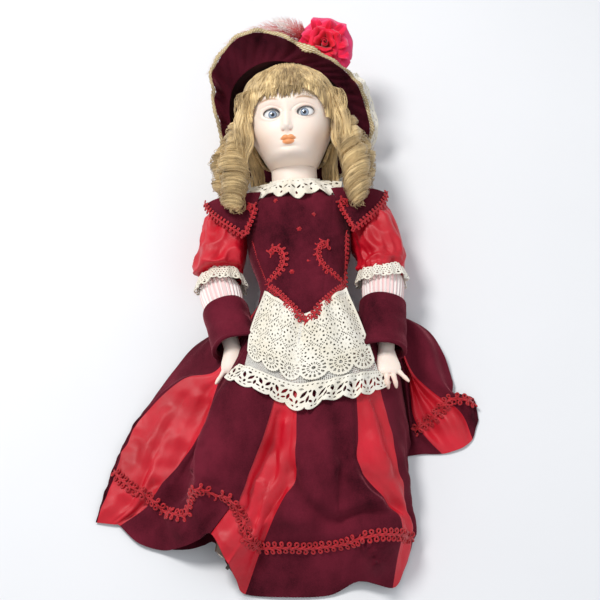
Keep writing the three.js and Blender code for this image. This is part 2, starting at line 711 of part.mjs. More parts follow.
function thigh(leg) {
  const hip = vec(leg.side * HIP.x, HIP.y, HIP.z);
  const length = hip.distanceTo(leg.knee);
  const marks = [
    [-8, 8], [12, 17.5], [26, 19.5], [45, 20], [70, 18.5], [length - 24, 16], [length - 16, 13.5], [length - 9, 10],
  ];
  const rod = toSolid(limb(between(hip, leg.knee, marks), 7, 10));
  const top = toSolid(ball(hip, HIP.ball));
  return fromSolid(rod.add(top).subtract(toSolid(ball(leg.knee, KNEE_BALL + SOCKET_GAP))));
}

function calfStations(leg) {
  const length = leg.knee.distanceTo(leg.ankle);
  const marks = [[9, 10], [16, 14], [32, 16], [50, 13.5], [length - 14, 10], [length, 9.5]];
  return between(leg.knee, leg.ankle, marks);
}

function footStations(leg) {
  const length = leg.ankle.distanceTo(leg.toe);
  const heel = leg.ankle.clone().lerp(leg.toe, -0.1);
  return between(heel, leg.toe, [[0, 8], [10, 10], [26, 10.5], [length - 4, 9], [length + 3, 4]]);
}

function lowerLeg(leg) {
  const calf = toSolid(limb(calfStations(leg), 6, 10));
  const foot = toSolid(limb(footStations(leg), 3, 8));
  return fromSolid(calf.add(foot).subtract(toSolid(ball(leg.knee, KNEE_BALL + SOCKET_GAP))));
}

// The sole lies in the plane through the underside of the foot.
function solePlane(leg, depth) {
  const along = leg.toe.clone().sub(leg.ankle).normalize();
  const shin = leg.knee.clone().sub(leg.ankle).normalize();
  const across = along.clone().cross(shin).normalize();
  const down = along.clone().cross(across).normalize();
  if (down.dot(shin) > 0) down.negate();
  const basis = new THREE.Matrix4().makeBasis(along, across, down);
  const centre = leg.ankle.clone().lerp(leg.toe, 0.42).addScaledVector(down, depth);
  return basis.setPosition(centre);
}

function bootUpper(leg) {
  const length = leg.knee.distanceTo(leg.ankle);
  const rim = between(leg.knee, leg.ankle, [[length - 42, 16.6], [length - 30, 15.4], [length - 10, 12.4],
    [length + 4, 12]]);
  let boot = toSolid(limb(rim, 3, 10)).add(toSolid(limb(footStations(leg), 3, 8, 2.8)));
  boot = boot.subtract(toSolid(limb(calfStations(leg), 6, 10, GAP)));
  boot = boot.subtract(toSolid(limb(footStations(leg), 3, 8, GAP)));
  const under = merged(new THREE.BoxGeometry(120, 60, 40).translate(0, 0, 20 + GAP));
  under.applyMatrix4(solePlane(leg, 11.2));
  return fromSolid(boot.subtract(toSolid(under)));
}

function bootSole(leg) {
  const outline = new THREE.Shape();
  outline.absellipse(0, 0, 29, 9.5, 0, Math.PI * 2);
  const plate = new THREE.ExtrudeGeometry(outline, { depth: 3, bevelEnabled: false, curveSegments: 9 });
  return merged(plate.applyMatrix4(solePlane(leg, 11.2 + GAP * 2)));
}

for (const [name, leg] of Object.entries(LEGS)) {
  add(doll, `thigh_${name}`, thigh(leg), COMPOSITION);
  add(doll, `knee_ball_${name}`, ball(leg.knee, KNEE_BALL), WOOD);
  add(doll, `lower_leg_${name}`, lowerLeg(leg), COMPOSITION);
  add(doll, `boot_upper_${name}`, bootUpper(leg), LEATHER);
  add(doll, `boot_sole_${name}`, bootSole(leg), SOLE);
}

// ---- bodice with its pointed waist ----
const WAIST_Y = -3;
const POINT_Y = -41;
const BASQUE_STEP = 8; // the torso ring where the bodice leaves room for the skirt's band
const SKIRT_ROOM = 6;

function bodice() {
  let shell = toSolid(torsoLoft(GAP + BODICE_THICKNESS, 0, BASQUE_STEP));
  shell = shell.add(toSolid(torsoLoft(GAP + BODICE_THICKNESS + SKIRT_ROOM, BASQUE_STEP)));
  shell = shell.subtract(toSolid(torsoLoft(GAP)));
  shell = shell.subtract(toSolid(torsoLoft(GAP + SKIRT_ROOM, BASQUE_STEP + 1)));
  shell = shell.subtract(toSolid(block([-90, 119, -20], [90, 150, 160])));
  for (const side of [-1, 1]) {
    const armhole = new THREE.CylinderGeometry(19, 19, 60, 14).rotateZ(Math.PI / 2);
    shell = shell.subtract(toSolid(armhole.translate(side * 76, 99, SHOULDER.z)));
    const below = new THREE.Shape();
    below.moveTo(0, POINT_Y);
    below.lineTo(side * 90, 2 * WAIST_Y - POINT_Y);
    below.lineTo(side * 90, -80);
    below.lineTo(0, -80);
    const wedge = new THREE.ExtrudeGeometry(below, { depth: 160, bevelEnabled: false });
    shell = shell.subtract(toSolid(wedge.translate(0, 0, 45)));
  }
  shell = shell.subtract(toSolid(block([-90, -80, -20], [90, WAIST_Y, 60])));
  shell = shell.subtract(toSolid(block([-90, -90, -40], [90, 150, 0])));
  shell = shell.subtract(toSolid(post(NECK_RADIUS + 4, 100, 140, NECK)));
  const backPanel = block([-30, WAIST_Y + 2, 0], [30, 100, 2.5]);
  return fromSolid(shell.add(toSolid(backPanel)).subtract(toSolid(torsoLoft(GAP))));
}

// A wing from the collar out over the top of the sleeve, narrowing to a point at the armhole.
function shoulderWing(side) {
  const grid = [];
  for (let row = 0; row <= 5; row += 1) {
    const t = row / 5;
    const inner = vec(49 + 8 * t, 108 - 42 * t, 0);
    const outer = vec(98 - 34 * t * t, 120 - 54 * t, 0);
    const line = [];
    for (let column = 0; column <= 4; column += 1) {
      const p = inner.clone().lerp(outer, column / 4);
      const drop = 0.0105 * Math.max(0, p.x - 64) ** 2;
      line.push(vec(side * p.x, p.y, 73.5 - drop));
    }
    grid.push(line);
  }
  return slab(grid, CLOTH);
}

function collar() {
  const rings = [];
  for (let step = 0; step < 28; step += 1) {
    const angle = (step / 28) * Math.PI * 2;
    const across = Math.cos(angle);
    const up = Math.sin(angle);
    const ruffle = 1.6 * Math.sin(angle * 10);
    const inner = vec(27.5 * across, 128, NECK.z + 27 * up);
    const outer = vec(51 * across, 113 + 3 * up * up - (up > 0 ? 14 * up : 0), NECK.z - 2 + 35 * up + ruffle);
    outer.z = up > 0 ? Math.max(outer.z, chestFront(outer.x, outer.y) + 2.4) : outer.z;
    rings.push([inner, outer, outer.clone().add(vec(0, 1.3, up > 0 ? 1 : -1)), inner.clone().add(vec(0, 1.4, 0))]);
  }
  return skin(rings, true);
}

const BRAID_RADIUS = 2.2;
const onChest = ([x, y]) => vec(x, y, chestFront(x, y) + BRAID_RADIUS + 1.8);
const WAIST_BRAID = [[50, 42], [46, 22], [42, 6], [22, -14], [0, -34], [-20, -14], [-38, 4]];
const HOOK_BRAIDS = {
  right: [[-30, 46], [-20, 42], [-16, 32], [-21, 20], [-33, 12]],
  left: [[27, 48], [17, 42], [14, 32], [20, 19], [34, 8]],
};

add(doll, 'bodice', bodice(), VELVET);
add(doll, 'shoulder_wing_right', shoulderWing(-1), VELVET);
add(doll, 'shoulder_wing_left', shoulderWing(1), VELVET);
add(doll, 'collar', collar(), LACE);
add(doll, 'waist_braid', cord(WAIST_BRAID.map(onChest), BRAID_RADIUS, 24, 4), BRAID);
for (const [name, route] of Object.entries(HOOK_BRAIDS)) {
  add(doll, `hook_braid_${name}`, cord(route.map(onChest), BRAID_RADIUS, 10, 5), BRAID);
}

// ---- skirt: rows from the waist to the hem, each from its right edge over the legs to its left edge ----
const SKIRT_ROWS = [
  [[-49, -7, 26], [-44, -9, 62], [-22, -9, 82.5], [0, -9, 86.2], [22, -9, 82.5], [44, -9, 62], [49, -7, 26]],
  [[-108, -38, 5], [-78, -44, 20], [-46, -50, 64], [0, -54, 86], [46, -50, 64], [78, -42, 20], [108, -16, 5]],
  [[-150, -88, 5], [-98, -94, 22], [-56, -104, 58], [0, -108, 78], [50, -104, 64], [88, -96, 22], [104, -70, 5]],
  [[-183, -118, 5], [-126, -134, 22], [-66, -154, 68], [-10, -162, 62], [44, -160, 76], [80, -154, 44], [96, -142, 5]],
  [[-206, -162, 5], [-150, -186, 24], [-84, -208, 66], [-30, -216, 52], [40, -216, 76], [78, -210, 48], [95, -200, 5]],
  [[-218, -190, 5], [-162, -216, 18], [-100, -240, 64], [-44, -262, 52], [36, -272, 70], [80, -266, 50], [95, -248, 5]],
  [[-227, -212, 5], [-178, -242, 6], [-118, -254, 50], [-62, -300, 7], [4, -310, 6], [64, -310, 6], [88, -290, 5]],
];

function skirtPoint(u, v) {
  const across = SKIRT_ROWS.map((row, place) => {
    const curve = new THREE.CatmullRomCurve3(row.map((p) => vec(...p)));
    return { place, point: curve.getPoint(u) };
  });
  const down = new THREE.CatmullRomCurve3(across.map(({ point }) => point));
  return down.getPoint(v);
}

function grid(rows, columns, at) {
  const lines = [];
  for (let row = 0; row <= rows; row += 1) {
    const line = [];
    for (let column = 0; column <= columns; column += 1) line.push(at(column / columns, row / rows));
    lines.push(line);
  }
  return lines;
}

// The skirt is lifted where it passes over each boot.
function skirtFront() {
  let cloth = toSolid(slab(grid(11, 16, skirtPoint), CLOTH));
  for (const leg of Object.values(LEGS)) {
    cloth = cloth.subtract(toSolid(limb(footStations(leg), 3, 8, 3.8)));
    cloth = cloth.subtract(toSolid(bootSole(leg)));
  }
  return fromSolid(cloth);
}

function floorPanel(outline) {
  const shape = new THREE.Shape(outline.map(([x, y]) => new THREE.Vector2(x, y)));
  return merged(new THREE.ExtrudeGeometry(shape, { depth: FLOOR_CLOTH, bevelEnabled: false }));
}

const BACK_OUTLINE = [
  [-46, -8], [-108, -42], [-150, -90], [-184, -121], [-208, -168], [-226, -210], [-178, -240], [-120, -252],
  [-76, -290], [-60, -298], [4, -308], [64, -308], [86, -288], [92, -246], [92, -200], [93, -142], [101, -72],
  [46, -8],
];
const TRAIN_OUTLINE = [
  [50, -10], [112, -8], [130, -26], [146, -62], [152, -101], [168, -104], [177, -114], [174, -134], [150, -146],
  [131, -166], [98, -158], [94, -142], [101.6, -72.5],
];

// The apron hangs from the bodice's point; its flounce is held out by both hands.
const APRON_TOP = [[-44, -12], [-24, -30], [-2, -47], [22, -32], [42, -16]];
const APRON_MIDDLE = [[-58, -62], [-36, -84], [-8, -98], [28, -94], [58, -84]];
const APRON_HEM = [[-62, -88], [-44, -116], [-8, -134], [34, -124], [60, -106]];

function apronPanel(upper, lower, rows) {
  const from = new THREE.CatmullRomCurve3(upper.map(([x, y]) => vec(x, y, 0)));
  const to = new THREE.CatmullRomCurve3(lower.map(([x, y]) => vec(x, y, 0)));
  return slab(grid(rows, 10, (u, v) => {
    const p = from.getPoint(u).lerp(to.getPoint(u), v);
    const slope = 93.5 - 0.055 * Math.max(0, -40 - p.y) - 0.0042 * p.x * p.x;
    return vec(p.x, p.y, slope);
  }), 1.1);
}

function apronFlounce() {
  const shift = ([x, y]) => [x, y - 1.4];
  return apronPanel(APRON_MIDDLE.map(shift), APRON_HEM, 4);
}

function hemBraid() {
  const points = [];
  for (let step = 0; step <= 24; step += 1) {
    const p = skirtPoint(0.02 + 0.87 * (step / 24), 0.875);
    points.push(p.add(vec(0, 0, 4.4)));
  }
  return cord(points, BRAID_RADIUS, 36, 4);
}

add(doll, 'skirt_front', skirtFront(), VELVET);
add(doll, 'skirt_back', floorPanel(BACK_OUTLINE), VELVET);
add(doll, 'skirt_train', floorPanel(TRAIN_OUTLINE), VELVET);
add(doll, 'apron_upper', apronPanel(APRON_TOP, APRON_MIDDLE, 6), LACE);
add(doll, 'apron_flounce', apronFlounce(), LACE);
add(doll, 'hem_braid', hemBraid(), BRAID);

export default doll;
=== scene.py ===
"""A porcelain doll on its back: the looks of every piece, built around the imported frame."""

import math

import bpy
import numpy as np
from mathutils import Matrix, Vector
from mathutils.bvhtree import BVHTree


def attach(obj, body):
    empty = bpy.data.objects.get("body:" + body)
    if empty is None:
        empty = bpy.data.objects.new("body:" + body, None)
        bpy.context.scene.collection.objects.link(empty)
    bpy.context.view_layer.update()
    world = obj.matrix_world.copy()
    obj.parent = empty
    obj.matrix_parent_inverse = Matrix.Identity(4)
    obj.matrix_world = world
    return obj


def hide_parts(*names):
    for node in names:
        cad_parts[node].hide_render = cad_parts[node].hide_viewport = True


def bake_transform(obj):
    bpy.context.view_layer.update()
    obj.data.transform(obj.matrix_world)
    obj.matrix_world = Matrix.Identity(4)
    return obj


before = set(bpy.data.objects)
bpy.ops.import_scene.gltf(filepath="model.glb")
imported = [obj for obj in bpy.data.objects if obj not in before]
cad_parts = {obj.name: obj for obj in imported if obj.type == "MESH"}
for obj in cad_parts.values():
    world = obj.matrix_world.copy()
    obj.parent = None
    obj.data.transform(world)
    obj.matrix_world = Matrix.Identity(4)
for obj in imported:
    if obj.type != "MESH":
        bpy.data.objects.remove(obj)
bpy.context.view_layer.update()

# ---- frames: sizes below are millimetres in the doll's own frame, from the waist on its midline ----
MM = 0.001
TO_ROW = np.array([25.0, -2.5, 0.0])
NECK = np.array([0.0, 124.0, 54.0])
HEAD_TILT = math.radians(15)
FACE_TURN = math.radians(-5)
rng = np.random.default_rng(7)


def to_row(points):
    return (np.asarray(points, float) + TO_ROW) * MM


def from_head(points):
    """From the head's frame, whose origin is the neck's pivot, to the doll's."""
    p = np.asarray(points, float)
    c, s = math.cos(HEAD_TILT), math.sin(HEAD_TILT)
    x, y, z = p[..., 0], p[..., 1], p[..., 2]
    return np.stack([x, y * c - z * s, y * s + z * c], -1) + NECK


def from_face(points):
    """From the face's frame, which is turned a little inside the head's."""
    p = np.asarray(points, float)
    c, s = math.cos(FACE_TURN), math.sin(FACE_TURN)
    x, y, z = p[..., 0], p[..., 1], p[..., 2]
    return from_head(np.stack([x * c + z * s, y, z * c - x * s], -1))


# ---- curves and grids ----
def along(points, count, closed=False, even=False):
    """Points on a smooth curve through the given ones."""
    p = np.asarray(points, float)
    n = len(p)
    fine = count * 8 if even else count
    t = np.linspace(0, n if closed else n - 1, fine, endpoint=not closed)
    i = np.floor(t).astype(int)
    if closed:
        a, b, c, d = (p[(i + k) % n] for k in (-1, 0, 1, 2))
    else:
        i = np.minimum(i, n - 2)
        ends = np.vstack([2 * p[0] - p[1], p, 2 * p[-1] - p[-2]])
        a, b, c, d = (ends[i + k] for k in range(4))
    f = (t - i)[:, None]
    made = 0.5 * (2 * b + (c - a) * f + (2 * a - 5 * b + 4 * c - d) * f**2 + (3 * b - a - 3 * c + d) * f**3)
    if not even:
        return made
    if closed:
        made = np.vstack([made, made[:1]])
    run = np.concatenate([[0], np.cumsum(np.linalg.norm(np.diff(made, axis=0), axis=1))])
    want = np.linspace(0, run[-1], count, endpoint=not closed)
    return np.stack([np.interp(want, run, made[:, k]) for k in range(made.shape[1])], -1)


def unit(v):
    return v / np.maximum(np.linalg.norm(v, axis=-1, keepdims=True), 1e-9)


def read_table(table, key):
    """Each column of a table of numbers, read smoothly at key."""
    table = np.asarray(table, float)
    return [np.interp(key, table[:, 0], table[:, k]) for k in range(1, table.shape[1])]


def grid_quads(rows, columns, wrap=False):
    i, j = np.meshgrid(np.arange(rows - 1), np.arange(columns if wrap else columns - 1), indexing="ij")
    right = (j + 1) % columns
    return np.stack([i * columns + j, i * columns + right, (i + 1) * columns + right,
                     (i + 1) * columns + j], -1).reshape(-1, 4)


def grid_uv(rows, columns, size=(1.0, 1.0)):
    v, u = np.meshgrid(np.linspace(0, size[1], rows), np.linspace(0, size[0], columns), indexing="ij")
    return np.stack([u, v], -1).reshape(-1, 2)


def grid_normals(grid):
    """Unit normals of a grid of points, up to sign."""
    across = np.gradient(grid, axis=1)
    down = np.gradient(grid, axis=0)
    return unit(np.cross(across, down))


def bell(x, centre, width):
    return np.exp(-(((x - centre) / width) ** 2))


def ripple(x, y, scale, seed):
    """A smooth wandering height between about -1 and 1."""
    total = np.zeros(np.broadcast(x, y).shape)
    made = np.random.default_rng(seed)
    for _ in range(7):
        angle, phase = made.uniform(0, 2 * math.pi, 2)
        size = scale * made.uniform(0.6, 1.7)
        total += np.sin((x * math.cos(angle) + y * math.sin(angle)) * 2 * math.pi / size + phase)
    return total / 3.2


# ---- pieces ----
def piece(name, points, quads, look, body=None, replaces=(), uv=None, smooth=True):
    """A mesh object from points in the doll's frame and equal-sided faces."""
    points, quads = np.asarray(points, float).reshape(-1, 3), np.asarray(quads, np.int32)
    mesh = bpy.data.meshes.new(name)
    mesh.vertices.add(len(points))
    mesh.vertices.foreach_set("co", to_row(points).astype(np.float32).ravel())
    mesh.loops.add(quads.size)
    mesh.loops.foreach_set("vertex_index", quads.ravel())
    mesh.polygons.add(len(quads))
    mesh.polygons.foreach_set("loop_start", np.arange(0, quads.size, quads.shape[1], dtype=np.int32))
    mesh.polygons.foreach_set("use_smooth", np.full(len(quads), smooth))
    mesh.update(calc_edges=True)
    if uv is not None:
        layer = mesh.uv_layers.new(name="UVMap")
        layer.data.foreach_set("uv", np.asarray(uv, np.float32)[quads.ravel()].ravel())
    mesh.materials.append(look)
    made = bpy.data.objects.new(name, mesh)
    bpy.context.scene.collection.objects.link(made)
    if replaces:
        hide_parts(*replaces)
    if body:
        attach(made, body)
    return made


def joined(parts):
    """Several (points, quads, uv) as one."""
    points, quads, uvs, first = [], [], [], 0
    for p, q, uv in parts:
        p = np.asarray(p, float).reshape(-1, 3)
        points.append(p)
        quads.append(np.asarray(q) + first)
        uvs.append(uv if uv is not None else np.zeros((len(p), 2)))
        first += len(p)
    return np.vstack(points), np.vstack(quads), np.vstack(uvs)


def tubes(paths, radius, sides=5, up=(0, 0, 1)):
    """Round threads along paths (count, steps, 3), as (points, quads, uv).

    The radius may vary along a thread.
    """
    paths = np.asarray(paths, float)
    if paths.ndim == 2:
        paths = paths[None]
    count, steps, _ = paths.shape
    radius = np.broadcast_to(np.asarray(radius, float), (count, steps))
    ahead = unit(np.gradient(paths, axis=1))
    side = unit(np.cross(ahead, np.broadcast_to(np.asarray(up, float), paths.shape)))
    top = np.cross(side, ahead)
    angle = np.arange(sides) / sides * 2 * math.pi
    ring = side[:, :, None] * np.cos(angle)[:, None] + top[:, :, None] * np.sin(angle)[:, None]
    points = paths[:, :, None] + ring * radius[:, :, None, None]
    one = grid_quads(steps, sides, wrap=True)
    quads = (one[None] + (np.arange(count) * steps * sides)[:, None, None]).reshape(-1, 4)
    run = np.concatenate([np.zeros((count, 1)),
                          np.cumsum(np.linalg.norm(np.diff(paths, axis=1), axis=2), axis=1)], 1)
    lane = np.broadcast_to(np.arange(count)[:, None, None] * 0.37 + angle / 6.3 * 0.1,
                           (count, steps, sides))
    uv = np.stack([lane, np.broadcast_to(run[:, :, None], lane.shape)], -1).reshape(-1, 2)
    return points.reshape(-1, 3), quads, uv


def thicken(made, thickness, offset=-1.0):
    """Gives a sheet its cloth thickness."""
    solid = made.modifiers.new("thickness", "SOLIDIFY")
    solid.thickness = thickness * MM
    solid.offset = offset
    return made


def loop_braid(name, path, normals, body=None, width=7.0, look=None, replaces=(), pitch=4.3):
    """Gimp braid: two rows of little corded loops on either side of a path, with a cord down the middle."""
    path, normals = np.asarray(path, float), unit(np.asarray(normals, float))
    length = np.sum(np.linalg.norm(np.diff(path, axis=0), axis=1))
    turns = max(3, int(length / pitch))
    run = np.concatenate([[0], np.cumsum(np.linalg.norm(np.diff(path, axis=0), axis=1))])
    parts = []
    for row, side in enumerate((-1, 1)):
        steps = turns * 12
        want = np.linspace(0, length, steps)
        angle = np.linspace(0, turns * 2 * math.pi, steps) + row * math.pi
        base = np.stack([np.interp(want, run, path[:, k]) for k in range(3)], -1)
        up = unit(np.stack([np.interp(want, run, normals[:, k]) for k in range(3)], -1))
        ahead = unit(np.gradient(base, axis=0))
        across = np.cross(up, ahead)
        out = width * (0.25 + 0.23 * np.sin(angle))
        slide = width * 0.27 * np.cos(angle)
        lift = 0.9 + 0.5 * np.cos(angle + 0.8)
        centre = base + across * (side * out)[:, None] + ahead * slide[:, None] + up * lift[:, None]
        parts.append(tubes(centre, 0.088 * width, 6, up=up))
    up = unit(normals)
    parts.append(tubes(path + up * 0.5, 0.09 * width, 6, up=up))
    points, quads, uv = joined(parts)
    return piece(name, points, quads, look or LOOKS["braid"], body, replaces, uv)


SPARE_LENGTH = 1.2
SHORTEST_SHEET = 11.0
LEAST_SHARE = 0.31


def as_sheet(grid, quads):
    """Works out the flat size and area of a piece as a sheet of cloth, and keeps neither.

    Its flat size is worked out from the finished grid; no cloth was cut to it beforehand.
    """
    corner = grid.reshape(-1, 3)[quads]
    area = np.linalg.norm(np.cross(corner[:, 2] - corner[:, 0], corner[:, 3] - corner[:, 1]),
                          axis=1).sum() / 2
    across = np.linalg.norm(np.diff(grid, axis=1), axis=2).sum(1)
    chosen = np.unique(quads // grid.shape[1])
    across = across[chosen].max()
    down = max(SPARE_LENGTH * area / across, SHORTEST_SHEET)
    flat = (float(across) * MM, float(down) * MM)
    whole = flat[0] * flat[1]
    area = min(max(float(area) * MM**2, LEAST_SHARE * whole), whole)


# ---- materials ----
def nodes_of(name):
    look = bpy.data.materials.new(name)
    look.use_nodes = True
    tree = look.node_tree
    shader = next(n for n in tree.nodes if n.type == "BSDF_PRINCIPLED")
    return look, tree, shader


def node(tree, kind, **settings):
    made = tree.nodes.new(kind)
    for key, value in settings.items():
        if key in made.inputs:
            made.inputs[key].default_value = value
        else:
            setattr(made, key, value)
    return made


def ramp(tree, factor, stops):
    made = tree.nodes.new("ShaderNodeValToRGB")
    while len(made.color_ramp.elements) < len(stops):
        made.color_ramp.elements.new(0.5)
    for element, (place, colour) in zip(made.color_ramp.elements, stops):
        element.position = place
        element.color = (*colour, 1.0)
    tree.links.new(factor, made.inputs["Fac"])
    return made


def stretched(tree, coordinates, scale):
    """Texture coordinates, each axis by its own scale."""
    source = tree.nodes.new("ShaderNodeTexCoord")
    mapping = node(tree, "ShaderNodeMapping")
    mapping.inputs["Scale"].default_value = scale
    tree.links.new(source.outputs[coordinates], mapping.inputs["Vector"])
    return mapping.outputs["Vector"]


def noise_at(tree, vector, scale, detail=4.0, roughness=0.5):
    made = node(tree, "ShaderNodeTexNoise", Scale=scale, Detail=detail, Roughness=roughness)
    tree.links.new(vector, made.inputs["Vector"])
    return made.outputs["Fac"]


def bump(tree, shader, height, distance, strength=1.0, under=None):
    made = node(tree, "ShaderNodeBump", Strength=strength, Distance=distance)
    tree.links.new(height, made.inputs["Height"])
    if under is not None:
        tree.links.new(under.outputs["Normal"], made.inputs["Normal"])
    tree.links.new(made.outputs["Normal"], shader.inputs["Normal"])
    return made


def set_shader(shader, **values):
    for key, value in values.items():
        shader.inputs[key.replace("_", " ")].default_value = value


def cloth(name, dark, light, roughness, spread=25.0, sheen=0.0, tint=(1, 1, 1), sheen_roughness=0.4,
          grain=1500.0, grain_depth=0.0003, crumple=0.0, crumple_scale=60.0, specular=0.3):
    """A cloth whose colour wanders between two shades, with a fine grain and, if asked, soft crumples."""
    look, tree, shader = nodes_of(name)
    where = stretched(tree, "Object", (1, 1, 1))
    drift = noise_at(tree, where, spread, 6.0, 0.6)
    colour = ramp(tree, drift, [(0.32, dark), (0.68, light)])
    tree.links.new(colour.outputs["Color"], shader.inputs["Base Color"])
    under = None
    if crumple:
        under = bump(tree, shader, noise_at(tree, where, crumple_scale, 3.0), crumple, 1.0)
    bump(tree, shader, noise_at(tree, where, grain, 2.0), grain_depth, 1.0, under)
    set_shader(shader, Roughness=roughness, Sheen_Weight=sheen, Sheen_Roughness=sheen_roughness,
               Specular_IOR_Level=specular)
    shader.inputs["Sheen Tint"].default_value = (*tint, 1.0)
    return look


def velvet(name, dark, light):
    """Pile that lies in patches, in relief and in colour: the lighter patches are painted sheen and the
    darker ones painted shade, and every edge catches a soft sheen.
    """
    look, tree, shader = nodes_of(name)
    where = stretched(tree, "Object", (1, 1, 1))
    nap_and_sheen = noise_at(tree, stretched(tree, "Object", (1.0, 0.6, 1.0)), 16.0, 5.0, 0.62)
    pile = noise_at(tree, where, 900.0, 3.0, 0.7)
    # The colour follows the nap's patches at random: lighter patches are painted sheen of the pile, darker
    # ones painted shade.
    mixed = node(tree, "ShaderNodeMath", operation="MULTIPLY_ADD")
    tree.links.new(pile, mixed.inputs[0])
    mixed.inputs[1].default_value = 0.35
    tree.links.new(nap_and_sheen, mixed.inputs[2])
    colour = ramp(tree, mixed.outputs[0],
                  [(0.46, dark), (0.62, tuple((a + b) / 2 for a, b in zip(dark, light))), (0.85, light)])
    tree.links.new(colour.outputs["Color"], shader.inputs["Base Color"])
    under = bump(tree, shader, nap_and_sheen, 0.0012, 0.5)
    bump(tree, shader, pile, 0.0004, 0.9, under)
    set_shader(shader, Roughness=0.95, Sheen_Weight=0.5, Sheen_Roughness=0.3, Specular_IOR_Level=0.08)
    shader.inputs["Sheen Tint"].default_value = (0.72, 0.20, 0.25, 1.0)
    return look


def satin(name, dark, light):
    """Smooth warp-faced cloth: bright soft highlights along the folds, and faint slubs."""
    look, tree, shader = nodes_of(name)
    where = stretched(tree, "Object", (1, 1, 1))
    drift = noise_at(tree, where, 22.0, 4.0)
    colour = ramp(tree, drift, [(0.3, dark), (0.7, light)])
    tree.links.new(colour.outputs["Color"], shader.inputs["Base Color"])
    gloss = ramp(tree, noise_at(tree, where, 45.0, 3.0),
                 [(0.3, (0.38, 0.38, 0.38)), (0.7, (0.52, 0.52, 0.52))])
    tree.links.new(gloss.outputs["Color"], shader.inputs["Roughness"])
    soft = bump(tree, shader, noise_at(tree, stretched(tree, "Object", (1, 0.55, 1)), 55.0, 2.0, 0.4),
                0.0022, 0.75)
    weave = node(tree, "ShaderNodeTexWave", Scale=900.0, Distortion=2.0, Detail=2.0)
    tree.links.new(where, weave.inputs["Vector"])
    bump(tree, shader, weave.outputs["Fac"], 0.00008, 0.6, soft)
    set_shader(shader, Specular_IOR_Level=0.5, Sheen_Weight=0.06, Sheen_Roughness=0.3, Anisotropic=0.3)
    shader.inputs["Sheen Tint"].default_value = (1.0, 0.45, 0.5, 1.0)
    return look


def bisque():
    """Unglazed porcelain, tinted: a slight blush, faint speckle and a soft skin-like glow."""
    look, tree, shader = nodes_of("bisque")
    where = stretched(tree, "Object", (1, 1, 1))
    tone = ramp(tree, noise_at(tree, where, 18.0, 3.0),
                [(0.3, (0.88, 0.73, 0.63)), (0.7, (0.92, 0.79, 0.70))])
    tint = node(tree, "ShaderNodeVertexColor", layer_name="tint")
    blend = node(tree, "ShaderNodeMix", data_type="RGBA", blend_type="MULTIPLY")
    blend.inputs[0].default_value = 1.0
    tree.links.new(tone.outputs["Color"], blend.inputs[6])
    tree.links.new(tint.outputs["Color"], blend.inputs[7])
    tree.links.new(blend.outputs[2], shader.inputs["Base Color"])
    bump(tree, shader, noise_at(tree, where, 900.0, 2.0), 0.00005, 0.5)
    set_shader(shader, Roughness=0.46, Specular_IOR_Level=0.4, Subsurface_Weight=0.12,
               Subsurface_Scale=0.004)
    shader.inputs["Subsurface Radius"].default_value = (1.0, 0.5, 0.35)
    return look


def fibres(name, dark, light, roughness=0.42, streak=(260.0, 3.0, 1.0), sheen=0.2):
    """Hair or feather: streaks that run along UV v, lighter and darker strand by strand."""
    look, tree, shader = nodes_of(name)
    where = stretched(tree, "UV", streak)
    strand = noise_at(tree, where, 1.0, 5.0, 0.65)
    lock = noise_at(tree, stretched(tree, "Object", (1, 1, 1)), 55.0, 2.0)
    mixed = node(tree, "ShaderNodeMath", operation="MULTIPLY_ADD")
    tree.links.new(lock, mixed.inputs[0])
    mixed.inputs[1].default_value = 0.5
    tree.links.new(strand, mixed.inputs[2])
    colour = ramp(tree, mixed.outputs[0],
                  [(0.54, dark), (0.72, tuple((a + b) / 2 for a, b in zip(dark, light))), (0.92, light)])
    tree.links.new(colour.outputs["Color"], shader.inputs["Base Color"])
    bump(tree, shader, strand, 0.0006, 0.9)
    set_shader(shader, Roughness=roughness, Specular_IOR_Level=0.45, Sheen_Weight=sheen, Anisotropic=0.5)
    return look


def plain(name, dark, light, roughness, spread=40.0, metallic=0.0, depth=0.0002, fine=700.0, specular=0.5,
          coat=0.0):
    look, tree, shader = nodes_of(name)
    where = stretched(tree, "Object", (1, 1, 1))
    colour = ramp(tree, noise_at(tree, where, spread, 5.0, 0.6), [(0.3, dark), (0.7, light)])
    tree.links.new(colour.outputs["Color"], shader.inputs["Base Color"])
    bump(tree, shader, noise_at(tree, where, fine, 3.0), depth, 0.8)
    set_shader(shader, Roughness=roughness, Metallic=metallic, Specular_IOR_Level=specular,
               Coat_Weight=coat)
    return look


def striped_cotton():
    """Fine cotton with pink stripes that run down the sleeve, along UV v."""
    look, tree, shader = nodes_of("striped_cotton")
    where = stretched(tree, "UV", (1, 1, 1))
    stripe = node(tree, "ShaderNodeTexWave", Scale=8.4, Distortion=0.25, Detail=1.0)
    tree.links.new(where, stripe.inputs["Vector"])
    colour = ramp(tree, stripe.outputs["Fac"], [(0.34, (0.86, 0.80, 0.77)), (0.66, (0.82, 0.57, 0.56))])
    tree.links.new(colour.outputs["Color"], shader.inputs["Base Color"])
    bump(tree, shader, noise_at(tree, stretched(tree, "Object", (1, 1, 1)), 1600.0, 2.0), 0.0002, 0.8)
    set_shader(shader, Roughness=0.85, Sheen_Weight=0.2, Specular_IOR_Level=0.2)
    return look


